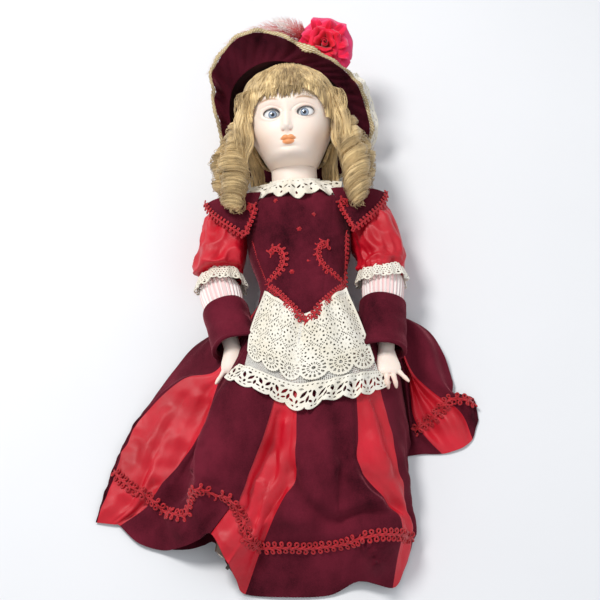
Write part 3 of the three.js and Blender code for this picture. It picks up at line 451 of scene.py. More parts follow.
def plaited_straw():
    """Straw plait: slanting strands that cross, in ecru."""
    look, tree, shader = nodes_of("straw")
    where = stretched(tree, "UV", (1, 1, 1))
    left = node(tree, "ShaderNodeTexWave", Scale=0.55, Distortion=0.6, Detail=2.0,
                bands_direction="DIAGONAL")
    right = node(tree, "ShaderNodeTexWave", Scale=0.62, Distortion=0.8, Detail=2.0, bands_direction="X")
    for wave in (left, right):
        tree.links.new(where, wave.inputs["Vector"])
    both = node(tree, "ShaderNodeMath", operation="MULTIPLY")
    tree.links.new(left.outputs["Fac"], both.inputs[0])
    tree.links.new(right.outputs["Fac"], both.inputs[1])
    colour = ramp(tree, both.outputs[0],
                  [(0.0, (0.42, 0.30, 0.14)), (0.35, (0.72, 0.58, 0.34)), (0.8, (0.86, 0.76, 0.54))])
    tree.links.new(colour.outputs["Color"], shader.inputs["Base Color"])
    bump(tree, shader, both.outputs[0], 0.0007, 1.0)
    set_shader(shader, Roughness=0.6, Specular_IOR_Level=0.35)
    return look


LOOKS = {
    "velvet": velvet("velvet", (0.020, 0.002, 0.005), (0.150, 0.013, 0.028)),
    # Very dark velvet for the crown's lining, darker than the bonnet's: painted shade inside the bonnet.
    "velvet_lining_painted_shade": cloth("velvet_lining_painted_shade", (0.014, 0.002, 0.004), (0.035, 0.004, 0.010), 0.95),
    "velvet_brim": velvet("velvet_brim", (0.010, 0.001, 0.003), (0.085, 0.008, 0.018)),
    "satin": satin("satin", (0.44, 0.0012, 0.010), (0.66, 0.004, 0.022)),
    "braid": cloth("braid", (0.32, 0.003, 0.009), (0.60, 0.011, 0.022), 0.5, spread=260.0, sheen=0.2,
                   grain=2600.0, grain_depth=0.0004, specular=0.4),
    "lace": cloth("lace", (0.80, 0.74, 0.60), (0.90, 0.87, 0.78), 0.85, spread=35.0, sheen=0.15,
                  grain=1400.0, grain_depth=0.0006),
    "net": cloth("net", (0.70, 0.68, 0.62), (0.80, 0.79, 0.74), 0.8, spread=60.0),
    "bisque": bisque(),
    "hair": fibres("hair", (0.13, 0.060, 0.012), (1.0, 0.74, 0.36), roughness=0.38),
    "plume": fibres("plume", (0.30, 0.01, 0.02), (0.85, 0.25, 0.27), roughness=0.7),
    "straw": plaited_straw(),
    "rose": cloth("rose", (0.55, 0.001, 0.012), (0.82, 0.012, 0.075), 0.55, spread=40.0, sheen=0.3,
                  tint=(1, 0.3, 0.6)),
    "leaf": cloth("leaf", (0.02, 0.03, 0.012), (0.06, 0.035, 0.02), 0.6),
    "striped_cotton": striped_cotton(),
    "leather": plain("leather", (0.035, 0.022, 0.014), (0.10, 0.06, 0.04), 0.42, depth=0.0004, fine=450.0,
                     coat=0.15),
    "sole": plain("sole", (0.02, 0.013, 0.009), (0.05, 0.03, 0.02), 0.7),
    "composition": plain("composition", (0.68, 0.46, 0.33), (0.78, 0.57, 0.43), 0.38, coat=0.2),
    "wood": plain("wood", (0.42, 0.27, 0.14), (0.60, 0.42, 0.25), 0.55, spread=90.0),
    "cork": plain("cork", (0.25, 0.14, 0.07), (0.50, 0.32, 0.18), 0.9, spread=300.0, depth=0.001,
                  fine=300.0),
    "elastic": plain("elastic", (0.66, 0.62, 0.54), (0.80, 0.77, 0.70), 0.8),
    "steel": plain("steel", (0.38, 0.38, 0.38), (0.52, 0.52, 0.52), 0.32, metallic=1.0),
    "lash": plain("lash", (0.05, 0.03, 0.02), (0.08, 0.05, 0.035), 0.6),
    "lip": plain("lip", (0.80, 0.30, 0.10), (0.85, 0.36, 0.14), 0.4),
}


# ---- skirt: fold and seam lines from the waist to the hem, right side to left ----
# Nine places on each line: waist, hip, thigh, apron's edge, knee, calf, shin, braid, hem.
SKIRT_LINES = {
    "floor_right": [[-52, -6, 22], [-112, -24, 13], [-143, -53, 7], [-165, -82, 5], [-183, -108, 4],
                    [-195, -132, 3],
                    [-206, -154, 3], [-217, -182, 3], [-229, -214, 3]],
    "back_fold": [[-49, -8, 40], [-92, -30, 38], [-122, -56, 28], [-150, -79, 19], [-181.6, -107.6, 6.5],
                  [-194.5, -132.4, 5],
                  [-205.4, -154.7, 5], [-216.4, -182.7, 4.5], [-228.7, -214.6, 3]],
    "seam_ab": [[-48, -8, 56], [-73, -43, 57], [-97, -76, 52], [-134, -77, 35], [-179.5, -107.2, 10],
                [-193.6, -133, 8],
                [-204.6, -155.8, 7.5], [-215.6, -183.8, 6.5], [-228.2, -215.4, 3]],
    "satin_high": [[-47, -8, 59], [-71, -44, 59], [-93, -80, 55], [-120, -91, 42], [-152, -117, 26],
                   [-167, -146, 22],
                   [-180, -172, 19], [-194, -200, 14], [-215, -218, 4]],
    "satin_low": [[-46, -8, 61], [-70, -45, 59], [-91, -82, 55], [-108, -98, 44], [-128, -124, 30],
                  [-148, -152, 24],
                  [-168, -177, 19], [-186, -203, 14], [-210, -219, 4]],
    "seam_bc": [[-45, -8, 64], [-69, -46, 60], [-90, -82, 56], [-99, -104, 54], [-110, -132, 46],
                [-133, -160, 30],
                [-156, -182, 19], [-174, -205, 13], [-204, -221, 4]],
    "valley_c": [[-41, -8, 70], [-63, -48, 68], [-86, -86, 62], [-98, -110, 56], [-108, -138, 46],
                 [-128, -168, 30],
                 [-146, -194, 20], [-162, -217, 14], [-186, -240, 4]],
    "hollow_c": [[-38, -8, 74], [-58, -49, 74], [-82, -88, 70], [-98, -113, 64], [-108, -141, 54],
                 [-121, -174, 38],
                 [-134, -202, 26], [-146, -223, 22], [-160, -250, 6]],
    "fold_d": [[-34, -8, 78], [-52, -50, 80], [-76, -90, 80], [-95, -116, 78], [-108, -144, 72],
               [-121, -178, 68],
               [-126, -203, 64], [-129, -222, 46], [-138, -252, 24]],
    "crest_d": [[-24, -8, 83], [-38, -52, 87], [-56, -94, 90], [-70, -126, 89], [-84, -158, 86],
                [-102, -190, 80],
                [-110, -208, 68], [-112, -220, 56], [-122, -249, 34]],
    "seam_de": [[-12, -8, 86], [-22, -54, 90], [-32, -100, 91], [-42, -135, 87], [-56, -168, 78],
                [-72, -202, 70],
                [-82, -222, 62], [-90, -226, 56], [-110, -247, 40]],
    "valley_e": [[-6, -8, 86], [-14, -56, 90], [-22, -102, 91], [-30, -137, 84], [-40, -170, 66],
                 [-54, -206, 54],
                 [-68, -230, 50], [-76, -246, 42], [-98, -272, 24]],
    "crest_e": [[-2, -8, 86], [-10, -56, 90], [-17, -103, 91], [-22, -138, 86], [-28, -171, 72],
                [-36, -208, 62],
                [-56, -236, 54], [-66, -256, 42], [-88, -288, 12]],
    "seam_ef": [[2, -8, 86], [-5, -56, 91], [-12, -104, 91], [-17, -138, 88], [-20, -172, 78],
                [-23, -204, 68],
                [-44, -234, 58], [-58, -258, 40], [-80, -300, 3]],
    "crest_f": [[8, -8, 86], [6, -56, 92], [4, -104, 93], [4, -139, 92], [4, -174, 90], [4, -208, 84],
                [-8, -240, 70], [-22, -264, 42], [-40, -306, 4]],
    "hollow_f": [[14, -8, 85], [16, -55, 91], [20, -102, 92], [22, -138, 90], [22, -174, 86],
                 [18, -208, 74],
                 [16, -240, 58], [12, -263, 40], [4, -307, 3]],
    "rise_f": [[20, -8, 84], [25, -54, 89], [33, -98, 90], [36, -134, 87], [35, -170, 84], [32, -204, 76],
               [42, -238, 68], [40, -263, 42], [34, -297, 6]],
    "seam_fg": [[26, -8, 82], [34, -52, 86], [42, -94, 86], [44, -128, 82], [43, -164, 79], [42, -196, 76],
                [70, -232, 54], [80, -252, 38], [68, -305, 4]],
    "satin_g": [[33, -8, 78], [46, -50, 80], [56, -90, 78], [60, -124, 72], [64, -158, 68], [68, -194, 62],
                [84, -230, 44], [89, -250, 28], [82, -286, 5]],
    "seam_gh": [[39, -8, 72], [55, -47, 70], [66, -86, 68], [72, -122, 60], [78, -154, 54], [83, -190, 48],
                [89, -224, 36], [93, -247, 19], [90, -268, 5]],
    "crest_h": [[44, -8, 62], [66, -42, 56], [82, -80, 52], [92, -112, 40], [95, -146, 30], [93, -180, 26],
                [93, -214, 20], [95, -240, 12], [92, -262, 5]],
    "floor_left": [[49, -8, 24], [94, -20, 10], [101, -62, 6], [100, -104, 5], [101, -136, 5],
                   [98, -168, 5],
                   [96, -202, 4], [96, -236, 3], [93, -258, 3]],
}
# Creases and ridges that cross the lines, each with its height (below zero for a crease) and width.
SKIRT_FOLDS = [
    ([[-22, -196], [-20, -218], [-6, -240], [22, -245], [52, -240]], -5.0, 6.0),
    ([[-14, -196], [-10, -218], [6, -231], [30, -235], [60, -230]], 4.5, 8.0),
    ([[46, -205], [54, -220], [70, -231], [88, -236]], -3.5, 5.0),
    ([[20, -196], [40, -214], [56, -232]], 3.5, 6.0),
    ([[-34, -238], [-10, -252], [24, -256], [60, -252]], 3.0, 7.0),
    ([[4, -150], [12, -180], [10, -206]], 3.0, 8.0),
    ([[-60, -120], [-78, -160], [-104, -198]], 3.0, 9.0),
    ([[-34, -140], [-46, -180], [-66, -214]], -3.2, 4.5),
    ([[-28, -150], [-34, -190], [-50, -222]], 3.0, 5.0),
    ([[-118, -100], [-140, -140], [-160, -176]], 4.0, 6.0),
    ([[-108, -108], [-128, -146], [-150, -180]], -3.5, 4.5),
    ([[-150, -110], [-176, -150], [-196, -190]], 3.5, 6.0),
    ([[-134, -96], [-158, -136], [-182, -184]], -3.5, 4.5),
    ([[52, -120], [62, -165], [68, -200]], 3.5, 6.0),
    ([[60, -120], [74, -165], [80, -200]], -3.0, 4.0),
    ([[-170, -196], [-150, -214], [-140, -238]], 4.0, 7.0),
    ([[-112, -168], [-122, -200], [-122, -216]], -3.0, 5.0),
]
GORES = [
    ("skirt_gore_back_right", "velvet", "floor_right", "seam_ab"),
    ("skirt_gore_satin_right", "satin", "seam_ab", "seam_bc"),
    ("skirt_gore_velvet_right", "velvet", "seam_bc", "seam_de"),
    ("skirt_gore_satin_middle", "satin", "seam_de", "seam_ef"),
    ("skirt_gore_velvet_middle", "velvet", "seam_ef", "seam_fg"),
    ("skirt_gore_satin_left", "satin", "seam_fg", "seam_gh"),
    ("skirt_gore_back_left", "velvet", "seam_gh", "floor_left"),
]
ROWS_PER_PLACE = 14
COLUMNS_PER_LINE = 7
KNEE_SPLIT_Y = -133.0
LEG_CLEARANCE = 7.0


def bend_with_legs(made):
    """Bakes the piece's placement into its mesh; the cloth is not made to turn with the thighs or the
    shins.
    """
    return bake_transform(made)


def split_piece(name, grid, look, replaces=(), uv=None, thickness=1.2, normals=None):
    """A grid of cloth as two pieces, above and below the knee split, that shade as one."""
    rows, columns = grid.shape[:2]
    points, quads = grid.reshape(-1, 3), grid_quads(rows, columns)
    normals = grid_normals(grid).reshape(-1, 3) if normals is None else normals.reshape(-1, 3)
    if normals[len(normals) // 2, 2] < 0:
        normals = -normals
    corner = points[quads]
    facing = np.cross(corner[:, 1] - corner[:, 0], corner[:, 2] - corner[:, 0])
    if (facing * normals[quads[:, 0]]).sum() < 0:
        quads = quads[:, ::-1]
    uv = grid_uv(rows, columns) if uv is None else uv
    low = points[quads].mean(1)[:, 1] < KNEE_SPLIT_Y
    made = []
    for part, chosen in (("upper", ~low), ("lower", low)):
        if not chosen.any():
            continue
        some = quads[chosen]
        pairs = np.stack([some, np.roll(some, -1, 1)], -1).reshape(-1, 2)
        _, which, times = np.unique(pairs.min(1) * len(points) + pairs.max(1), return_inverse=True,
                                    return_counts=True)
        on_rim = times[which] == 1
        used, index = np.unique(some, return_inverse=True)
        index, count = index.reshape(-1, 4), len(used)
        rim = np.searchsorted(used, pairs[on_rim])
        rim = np.stack([rim[:, 1], rim[:, 0], rim[:, 0] + count, rim[:, 1] + count], 1)
        faces = np.vstack([index, index[:, ::-1] + count, rim])
        both = np.vstack([points[used], points[used] - normals[used] * thickness])
        one = piece(f"{name}_{part}", both, faces, look, uv=np.vstack([uv[used], uv[used]]))
        one.data.normals_split_custom_set_from_vertices(np.vstack([normals[used], -normals[used]]).tolist())
        bend_with_legs(one)
        as_sheet(grid, some)
        made.append(one)
    if replaces:
        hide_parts(*replaces)
    return made


def lay_on(points, tree, clearance, fallback=None):
    """Lifts or drops points on to a surface, with a clearance."""
    flat = np.asarray(points, float).reshape(-1, 3).copy()
    for p in flat:
        hit = tree.ray_cast(Vector((p[0], p[1], 400.0)), Vector((0, 0, -1)))[0]
        p[2] = (hit.z if hit else (p[2] if fallback is None else fallback)) + clearance
    return flat.reshape(np.shape(points))


LEG_NODES = [f"{part}_{side}" for part in ("thigh", "lower_leg", "boot_upper",
                                           "boot_sole") for side in ("right", "left")]


def legs_tree():
    points, faces = [], []
    for name in LEG_NODES:
        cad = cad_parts[name]
        place = cad.matrix_world
        first = len(points)
        points += [place @ v.co for v in cad.data.vertices]
        faces += [[first + k for k in face.vertices] for face in cad.data.polygons]
    points = np.array([list(p) for p in points]) / MM - TO_ROW
    return BVHTree.FromPolygons([Vector(p) for p in points], faces)


def clear_of_legs(grid):
    """Lifts the cloth where a leg or a boot would come through, and eases the lift out around it."""
    tree = legs_tree()
    tops = lay_on(grid, tree, LEG_CLEARANCE, fallback=-50.0)[..., 2]
    lift = np.clip(tops - grid[..., 2], 0, None)
    for _ in range(26):
        padded = np.pad(lift, 1, mode="edge")
        around = (padded[:-2, 1:-1] + padded[2:, 1:-1] + padded[1:-1, :-2] + padded[1:-1, 2:]) / 4
        lift = np.maximum(lift, around * 0.985)
    grid[..., 2] += lift
    return grid


def skirt_surface():
    lines = [np.asarray(line, float) for line in SKIRT_LINES.values()]
    rows = (len(lines[0]) - 1) * ROWS_PER_PLACE + 1
    down = np.stack([along(line, rows) for line in lines], 1)
    columns = (len(lines) - 1) * COLUMNS_PER_LINE + 1
    grid = np.stack([along(row, columns) for row in down], 0)
    normal = grid_normals(grid)
    normal *= np.sign(normal[..., 2:3] + 1e-9)
    u = np.linspace(0, 1, columns)[None, :]
    v = np.linspace(0, 1, rows)[:, None]
    free = np.clip((v - 0.3) / 0.3, 0, 1) * np.clip((1 - v) / 0.06, 0, 1)
    folds = 2.2 * np.sin(u * 2 * math.pi * 13 + 1.5 * np.sin(v * 5) + 0.8) * free * (0.4
        + 0.6 * bell(v, 0.75, 0.3))
    wrinkles = 1.4 * ripple(u * 300, v * 330, 46, 3) * free
    pleats = 2.6 * (0.55 - np.abs(ripple(u * 380 + 14 * np.sin(v * 6), v * 95, 34, 8))) * free
    x, y = grid[..., 0], grid[..., 1]
    for fold, deep, wide in SKIRT_FOLDS:
        near = np.min([np.hypot(x - p[0], y - p[1]) for p in along(fold, 60)], axis=0)
        pleats = pleats + deep * np.exp(-((near / wide) ** 2))
    gathers = 1.6 * np.sin(u * 2 * math.pi * 34) * bell(v, 0.0, 0.14)
    grid = grid + normal * (folds + wrinkles + pleats + gathers)[..., None]
    grid[..., 2] = np.maximum(grid[..., 2], 2.2)
    return clear_of_legs(grid)


def line_column(name):
    return list(SKIRT_LINES).index(name) * COLUMNS_PER_LINE


skirt_grid = skirt_surface()
skirt_normals = grid_normals(skirt_grid)
if skirt_normals[60, 60, 2] < 0:
    skirt_normals = -skirt_normals
for gore, look, left, right in GORES:
    a, b = line_column(left), line_column(right) + 1
    split_piece(
        gore, skirt_grid[:, a:b], LOOKS[look],
        replaces=["skirt_front"] if gore == "skirt_gore_velvet_middle" else (),
        normals=skirt_normals[:, a:b],
    )

# The back of the skirt lies flat under the legs.
under = skirt_grid[::2, ::2].copy()
under[..., 0] = under[..., 0] * 0.985
under[..., 1] = under[..., 1] * 0.985 - 1
under[..., 2] = 0.5 + 0.4 * ripple(under[..., 0], under[..., 1], 90, 5)
under[..., 2] = np.clip(under[..., 2], 0.2, 1.4)
split_piece("skirt_back_panel", under[::-1], LOOKS["velvet"], replaces=["skirt_back"],
            thickness=0.2)

skirt_tree = BVHTree.FromPolygons([Vector(p) for p in skirt_grid.reshape(-1, 3)],
                                  grid_quads(*skirt_grid.shape[:2]).tolist())


def normals_on(points, tree):
    found = []
    for p in points:
        normal = tree.ray_cast(Vector((p[0], p[1], 400.0)), Vector((0, 0, -1)))[1]
        n = np.array(normal) if normal else np.array([0, 0, 1.0])
        found.append(n if n[2] >= 0 else -n)
    return unit(np.array(found) + 1e-9)


def split_braid(name, path, tree, replaces=()):
    """A braid laid on the skirt, cut where the skirt is."""
    path = lay_on(along(path, 260, even=True), tree, 0.6)
    normals = normals_on(path, tree)
    for k in range(4):
        normals[1:-1] = unit(normals[:-2] + normals[1:-1] + normals[2:])
    low = path[:, 1] < KNEE_SPLIT_Y
    for part, chosen in (("upper", ~low), ("lower", low)):
        if chosen.sum() > 6:
            made = loop_braid(f"{name}_{part}", path[chosen], normals[chosen], width=12.5, pitch=6.8)
            bend_with_legs(made)
            if replaces:
                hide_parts(*replaces)


HEM_BRAID = [
    [-209, -163, 5], [-195, -181, 8], [-172, -198, 14], [-152, -217, 20], [-134, -224, 30],
    [-127, -210, 50],
    [-116, -208, 58], [-94, -216, 60], [-84, -226, 58], [-76, -243, 52], [-76, -256, 42], [-60, -262, 34],
    [-22, -266, 30], [28, -266, 30], [70, -262, 26], [91, -258, 12],
]
split_braid("hem_braid", HEM_BRAID, skirt_tree, ["hem_braid"])

# ---- train: the back of the skirt spread out on the doll's left ----
TRAIN_LINES = {
    "inner": [[60, -14, 30], [80, -40, 26], [94, -74, 14], [97, -104, 8], [97, -130, 5], [96, -150, 3],
              [94, -166, 2]],
    "k_crest": [[64, -12, 32], [86, -40, 30], [98, -76, 22], [101, -102, 15], [102, -130, 10],
                [106, -148, 6], [114, -165, 2]],
    "seam_ki": [[68, -11, 34], [92, -40, 33], [104, -78, 25], [106, -100, 19], [107, -127, 13],
                [118, -149, 8], [134, -166, 2]],
    "i_low": [[69, -11, 34], [93, -39, 33], [105, -77, 27], [110, -98, 18], [119, -121, 15],
              [131, -142, 10], [146, -164, 3]],
    "i_high": [[70, -10, 34], [94, -39, 33], [106, -76, 25], [114, -95, 22], [129, -115, 14],
               [145, -134, 13], [158, -160, 3]],
    "seam_ij": [[71, -10, 34], [95, -38, 33], [107, -75, 26], [119, -92, 21], [139, -109, 16],
                [159, -124, 9], [168, -152, 2]],
    "j_crest": [[78, -7, 34], [114, -28, 32], [132, -58, 25], [138, -84, 20], [149, -101, 14],
                [169, -112, 9], [173, -140, 2]],
    "outer": [[86, -4, 26], [131, -28, 15], [147, -56, 8], [154, -86, 4], [154, -101, 4], [174, -107, 3],
              [177, -131, 2]],
}
TRAIN_GORES = [
    ("train_gore_under", "velvet", "inner", "seam_ki"),
    ("train_gore_satin", "satin", "seam_ki", "seam_ij"),
    ("train_gore_outer", "velvet", "seam_ij", "outer"),
]


def train_surface():
    lines = [np.asarray(line, float) for line in TRAIN_LINES.values()]
    down = np.stack([along(line, 73) for line in lines], 1)
    grid = np.stack([along(row, (len(lines) - 1) * 7 + 1) for row in down], 0)
    u, v = np.meshgrid(np.linspace(0, 1, grid.shape[1]), np.linspace(0, 1, grid.shape[0]))
    grid[...,
         2] += (2.4 * np.sin(u * 2 * math.pi * 6 + 3 * v)
                + 1.4 * ripple(u * 120, v * 170, 40, 9)) * np.clip((1 - v) * 6, 0, 1) * np.clip(v * 3, 0, 1)
    grid[..., 2] = np.maximum(grid[..., 2], 1.6)
    return grid


train_grid = train_surface()
train_normals = grid_normals(train_grid)
if train_normals[30, 20, 2] < 0:
    train_normals = -train_normals
for gore, look, left, right in TRAIN_GORES:
    a, b = (list(TRAIN_LINES).index(k) * 7 for k in (left, right))
    split_piece(gore, train_grid[:, a : b + 1], LOOKS[look],
                replaces=["skirt_train"] if look == "satin" else (), normals=train_normals[:, a : b + 1])
train_tree = BVHTree.FromPolygons([Vector(p) for p in train_grid.reshape(-1, 3)],
                                  grid_quads(*train_grid.shape[:2]).tolist())
split_braid("train_braid",
            [[106, -141, 10], [120, -134, 10], [131, -127, 9], [141, -116, 8], [150, -110, 8],
             [163, -112, 6], [174, -114, 5]], train_tree)


# ---- sheets with real holes ----
def cut_sheet(data, quads, field):
    """Keeps the part of a sheet where the field is above zero, cut along its edge.

    The first three data columns are the point.
    """
    data, field = np.asarray(data, float), np.asarray(field, float).ravel()
    tris = np.vstack([quads[:, [0, 1, 2]], quads[:, [0, 2, 3]]])
    inside = field[tris] > 0
    count = inside.sum(1)
    whole = tris[count == 3]
    one = tris[count == 1]
    first = inside[count == 1].argmax(1)
    one = np.take_along_axis(one, (first[:, None] + np.arange(3)) % 3, 1)
    two = tris[count == 2]
    first = (~inside[count == 2]).argmax(1)
    two = np.take_along_axis(two, (first[:, None] + np.arange(3)) % 3, 1)
    total = len(data)
    cuts = [one[:, [0, 1]], one[:, [0, 2]], two[:, [0, 1]], two[:, [0, 2]]]
    ends = np.sort(np.vstack(cuts), axis=1)
    keys, index = np.unique(ends[:, 0] * total + ends[:, 1], return_inverse=True)
    a, b = keys // total, keys % total
    share = (field[a] / (field[a] - field[b] + 1e-12))[:, None]
    data = np.vstack([data, data[a] * (1 - share) + data[b] * share])
    index = index.ravel() + total
    n1, n2 = len(one), len(two)
    o1, o2, t1, t2 = index[:n1], index[n1:2 * n1], index[2 * n1:2 * n1 + n2], index[2 * n1 + n2:]
    made = np.vstack([
        whole,
        np.stack([one[:, 0], o1, o2], 1),
        np.stack([two[:, 1], two[:, 2], t2], 1),
        np.stack([two[:, 1], t2, t1], 1),
    ])
    made = made[(made[:, 0] != made[:, 1]) & (made[:, 1] != made[:, 2]) & (made[:, 0] != made[:, 2])]
    used, made = np.unique(made, return_inverse=True)
    return data[used], made.reshape(-1, 3)


def lace_piece(name, place, size, pattern, look, body=None, replaces=(), cell=0.55,
               thickness=0.7):
    """Lace from a flat drawing.

    place(u, v) puts it in space, and does not keep its lengths. There is thread where pattern(u, v) > 0.
    """
    wide, deep = size
    v, u = np.meshgrid(np.arange(0, deep + cell, cell), np.arange(0, wide + cell, cell), indexing="ij")
    points = place(u, v)
    data = np.concatenate([points.reshape(-1, 3), np.stack([u, v], -1).reshape(-1, 2)], 1)
    data, faces = cut_sheet(data, grid_quads(*u.shape), pattern(u, v))
    made = piece(name, data[:, :3], faces, look, body, replaces, uv=data[:, 3:5] * 0.02)
    thicken(made, thickness, 0.0)
    return made


def leaf_field(u, v, x, y, angle, long, wide):
    """Above zero outside a leaf-shaped hole."""
    c, s = math.cos(angle), math.sin(angle)
    a, b = (u - x) * c + (v - y) * s, (v - y) * c - (u - x) * s
    return (np.abs(a / long) ** 1.5 + np.abs(b / wide) ** 1.5 - 1) * min(long, wide) * 0.6


def repeat(u, pitch):
    return (u + pitch / 2) % pitch - pitch / 2


def scallops(u, v, deep, pitch, height):
    """Above zero above a scalloped lower edge."""
    return deep - height * (1 - np.sqrt(np.clip(1 - (repeat(u, pitch) / (pitch / 2)) ** 2, 0, 1))) - v


def crochet(wide, deep, pitch=11.0):
    """Coarse crochet edging: a band, rings, leaf-shaped holes and scallops with small holes."""
    def field(u, v):
        x = repeat(u, pitch)
        shape = scallops(u, v, deep, pitch, 3.4)
        shape = np.minimum(shape, leaf_field(x, v, -pitch * 0.22, deep * 0.52, 0.7, 2.9, 1.35))
        shape = np.minimum(shape, leaf_field(x, v, pitch * 0.22, deep * 0.52, -0.7, 2.9, 1.35))
        shape = np.minimum(shape, leaf_field(x, v, 0, deep * 0.78, 1.57, 1.9, 1.1))
        shape = np.minimum(shape, leaf_field(repeat(u, pitch / 2), v, pitch / 4, deep * 0.22, 0, 1.3, 1.0))
        shape = np.minimum(shape, leaf_field(repeat(u, pitch / 2), v, -pitch / 4, deep * 0.22, 0, 1.3, 1.0))
        x2 = repeat(u + pitch / 2, pitch)
        shape = np.minimum(shape, leaf_field(x2, v, 0, deep * 0.62, 0, 1.0, 1.5))
        return np.minimum(shape, v + 0.3)
    return field


def eyelet(wide, deep, pitch=5.0):
    """Fine edging with a row of eyelets, a net and small loops along both edges."""
    def field(u, v):
        x = repeat(u, pitch)
        low = scallops(u, v, deep, pitch, 2.0)
        high = v - 1.6 * (1 - np.sqrt(np.clip(1 - (x / (pitch / 2)) ** 2, 0, 1)))
        shape = np.minimum(low, high)
        shape = np.minimum(shape, leaf_field(x, v, 0, deep * 0.82, 0, 1.3, 1.2))
        shape = np.minimum(shape, leaf_field(x, v, 0, deep * 0.14, 0, 1.1, 0.9))
        for k, row in enumerate((0.34, 0.50, 0.66)):
            net = repeat(u + (k % 2) * pitch / 4, pitch / 2)
            shape = np.minimum(shape, leaf_field(net, v, 0, deep * row, 0, 0.75, 0.8))
        return shape
    return field


# ---- bodice ----
TORSO = [
    (-52, 47, 35, 44), (-30, 46, 36, 45), (-10, 43, 36, 45), (20, 41, 35, 45), (55, 50, 39, 45),
    (85, 52, 39, 45),
    (104, 54, 35, 47), (114, 42, 30, 50), (122, 25, 22, 54),
]
SQUARE = 2.2
torso_rows = along(TORSO, 120)


def torso_ring(y, angle, grow):
    wide, deep, middle = read_table(torso_rows, y)
    across, ahead = np.cos(angle), np.sin(angle)
    reach = (np.abs(across) ** SQUARE + np.abs(ahead) ** SQUARE) ** (-1 / SQUARE)
    return np.stack([(wide + grow) * across * reach, y, middle + (deep + grow) * ahead * reach], -1)


def chest(x, y, grow=3.4):
    wide, deep, middle = read_table(torso_rows, y)
    share = np.minimum(np.abs(x) / (wide + grow), 0.98)
    return middle + (deep + grow) * (1 - share**SQUARE) ** (1 / SQUARE)


def bodice():
    angle = np.linspace(0, 2 * math.pi, 221)[:-1]
    v = np.linspace(0, 1, 150)[:, None]
    front = np.clip(np.sin(angle), 0, 1)
    bottom = -3 - 42 * np.clip(1 - np.abs(np.cos(angle)) * 1.12, 0, 1) * (front > 0)
    y = 119 + (bottom - 119) * v
    a = np.broadcast_to(angle, y.shape)
    low = np.clip((12 - y) / 40, 0, 1)
    grid = torso_ring(y, a, 3.4 + 5.5 * low * (np.sin(a) > -0.2))
    grid[..., 2] = np.maximum(grid[..., 2], 0.8)
    x = grid[..., 0]
    pull = 0.8 * ripple(x, y, 34, 21) + 0.5 * ripple(x, y, 15, 22)
    seams = sum(-0.9 * bell(x, side * np.interp(y, [-3, 60, 119], [20, 33, 40]), 1.3) for side in (-1, 1))
    grid[..., 2] += (pull + seams) * np.clip(np.sin(a), 0, 1)
    quads = grid_quads(*grid.shape[:2], wrap=True)
    points = grid.reshape(-1, 3)
    hole = 17.5 - np.hypot(points[:, 1] - 99, points[:, 2] - 46)
    field = np.where(np.abs(points[:, 0]) > 45, -hole, 1.0)
    points, faces = cut_sheet(points, quads[:, ::-1], field)
    made = piece("bodice_velvet", points, faces, LOOKS["velvet"], "torso", ["bodice"])
    thicken(made, 1.6)
    as_sheet(grid, quads)


bodice()


def on_chest(path, lift):
    path = np.asarray(path, float)
    if path.shape[1] == 2:
        path = np.column_stack([path,
                                chest(path[:, 0], path[:, 1],
                                      3.4 + 5.5 * np.clip((12 - path[:, 1]) / 40, 0, 1))])
    path[:, 2] += lift
    return path


def outward(path, middle=(0, 60, 30)):
    n = path - np.asarray(middle, float)
    n[:, 1] *= 0.1
    return unit(n * np.array([0.55, 1, 1]))


WAIST_BRAID = [[50, 70], [48, 50], [45, 28], [43, 8], [32, -8], [17, -26], [0, -45], [-15, -27], [-26, -8],
               [-36, 7]]
SEAM_CORD = [[-36, 7], [-40, 24], [-46, 46], [-50, 66]]
HOOKS = {
    "right": [[-31.5, 41], [-32.5, 44.5], [-29, 47.5], [-23.5, 46.5], [-19.5, 41.5], [-18, 34], [-20, 26],
              [-27, 18.5], [-37, 11]],
    "left": [[26.5, 44], [28.5, 47.5], [25.5, 50.5], [21, 48.5], [17.5, 42.5], [16.5, 35], [18.5, 27.5],
             [25, 20.5], [34, 14], [42, 9]],
}
waist = on_chest(along(WAIST_BRAID, 160, even=True), 1.0)
waist[:, 2] += 5.0 * np.clip((-10 - waist[:, 1]) / 22, 0, 1)
loop_braid("waist_braid_loops", waist, outward(waist), "torso", 9.4, replaces=["waist_braid"], pitch=5.2)
cord = on_chest(along(SEAM_CORD, 60, even=True), 0.8)
loop_braid("seam_cord", cord, outward(cord), "torso", 3.4, pitch=2.8)
for side, hook in HOOKS.items():
    path = on_chest(along(hook, 110, even=True), 1.0)
    loop_braid(f"hook_braid_loops_{side}", path, outward(path), "torso", 9.4,
               replaces=[f"hook_braid_{side}"], pitch=5.0)


def ball(centre, radius, rows=9, columns=12, squash=1.0):
    v, u = np.meshgrid(np.linspace(0.001, math.pi - 0.001, rows),
                       np.linspace(0, 2 * math.pi, columns, endpoint=False), indexing="ij")
    grid = np.stack([np.sin(v) * np.cos(u), np.sin(v) * np.sin(u), np.cos(v) * squash],
                    -1) * radius + np.asarray(centre, float)
    return grid.reshape(-1, 3), grid_quads(rows, columns, wrap=True)[:, ::-1], None


# These places are what a measuring script read off the photo, which is a fault.
BEADS = [[-22.6, 103], [15.7, 82], [-0.5, 65], [6.4, 28], [-11.2, 17.5]]
knots = []
for x, y in BEADS:
    z = float(chest(x, y)) + 1.2
    knots.append(ball((x, y, z + 0.9), 1.5))
    for k in range(6):
        knots.append(ball((x + 1.9 * math.cos(k * 1.047), y + 1.9 * math.sin(k * 1.047), z), 1.15, 7, 9))
points, quads, uv = joined(knots)
piece("bodice_beads", points, quads, LOOKS["braid"], "torso", uv=uv)

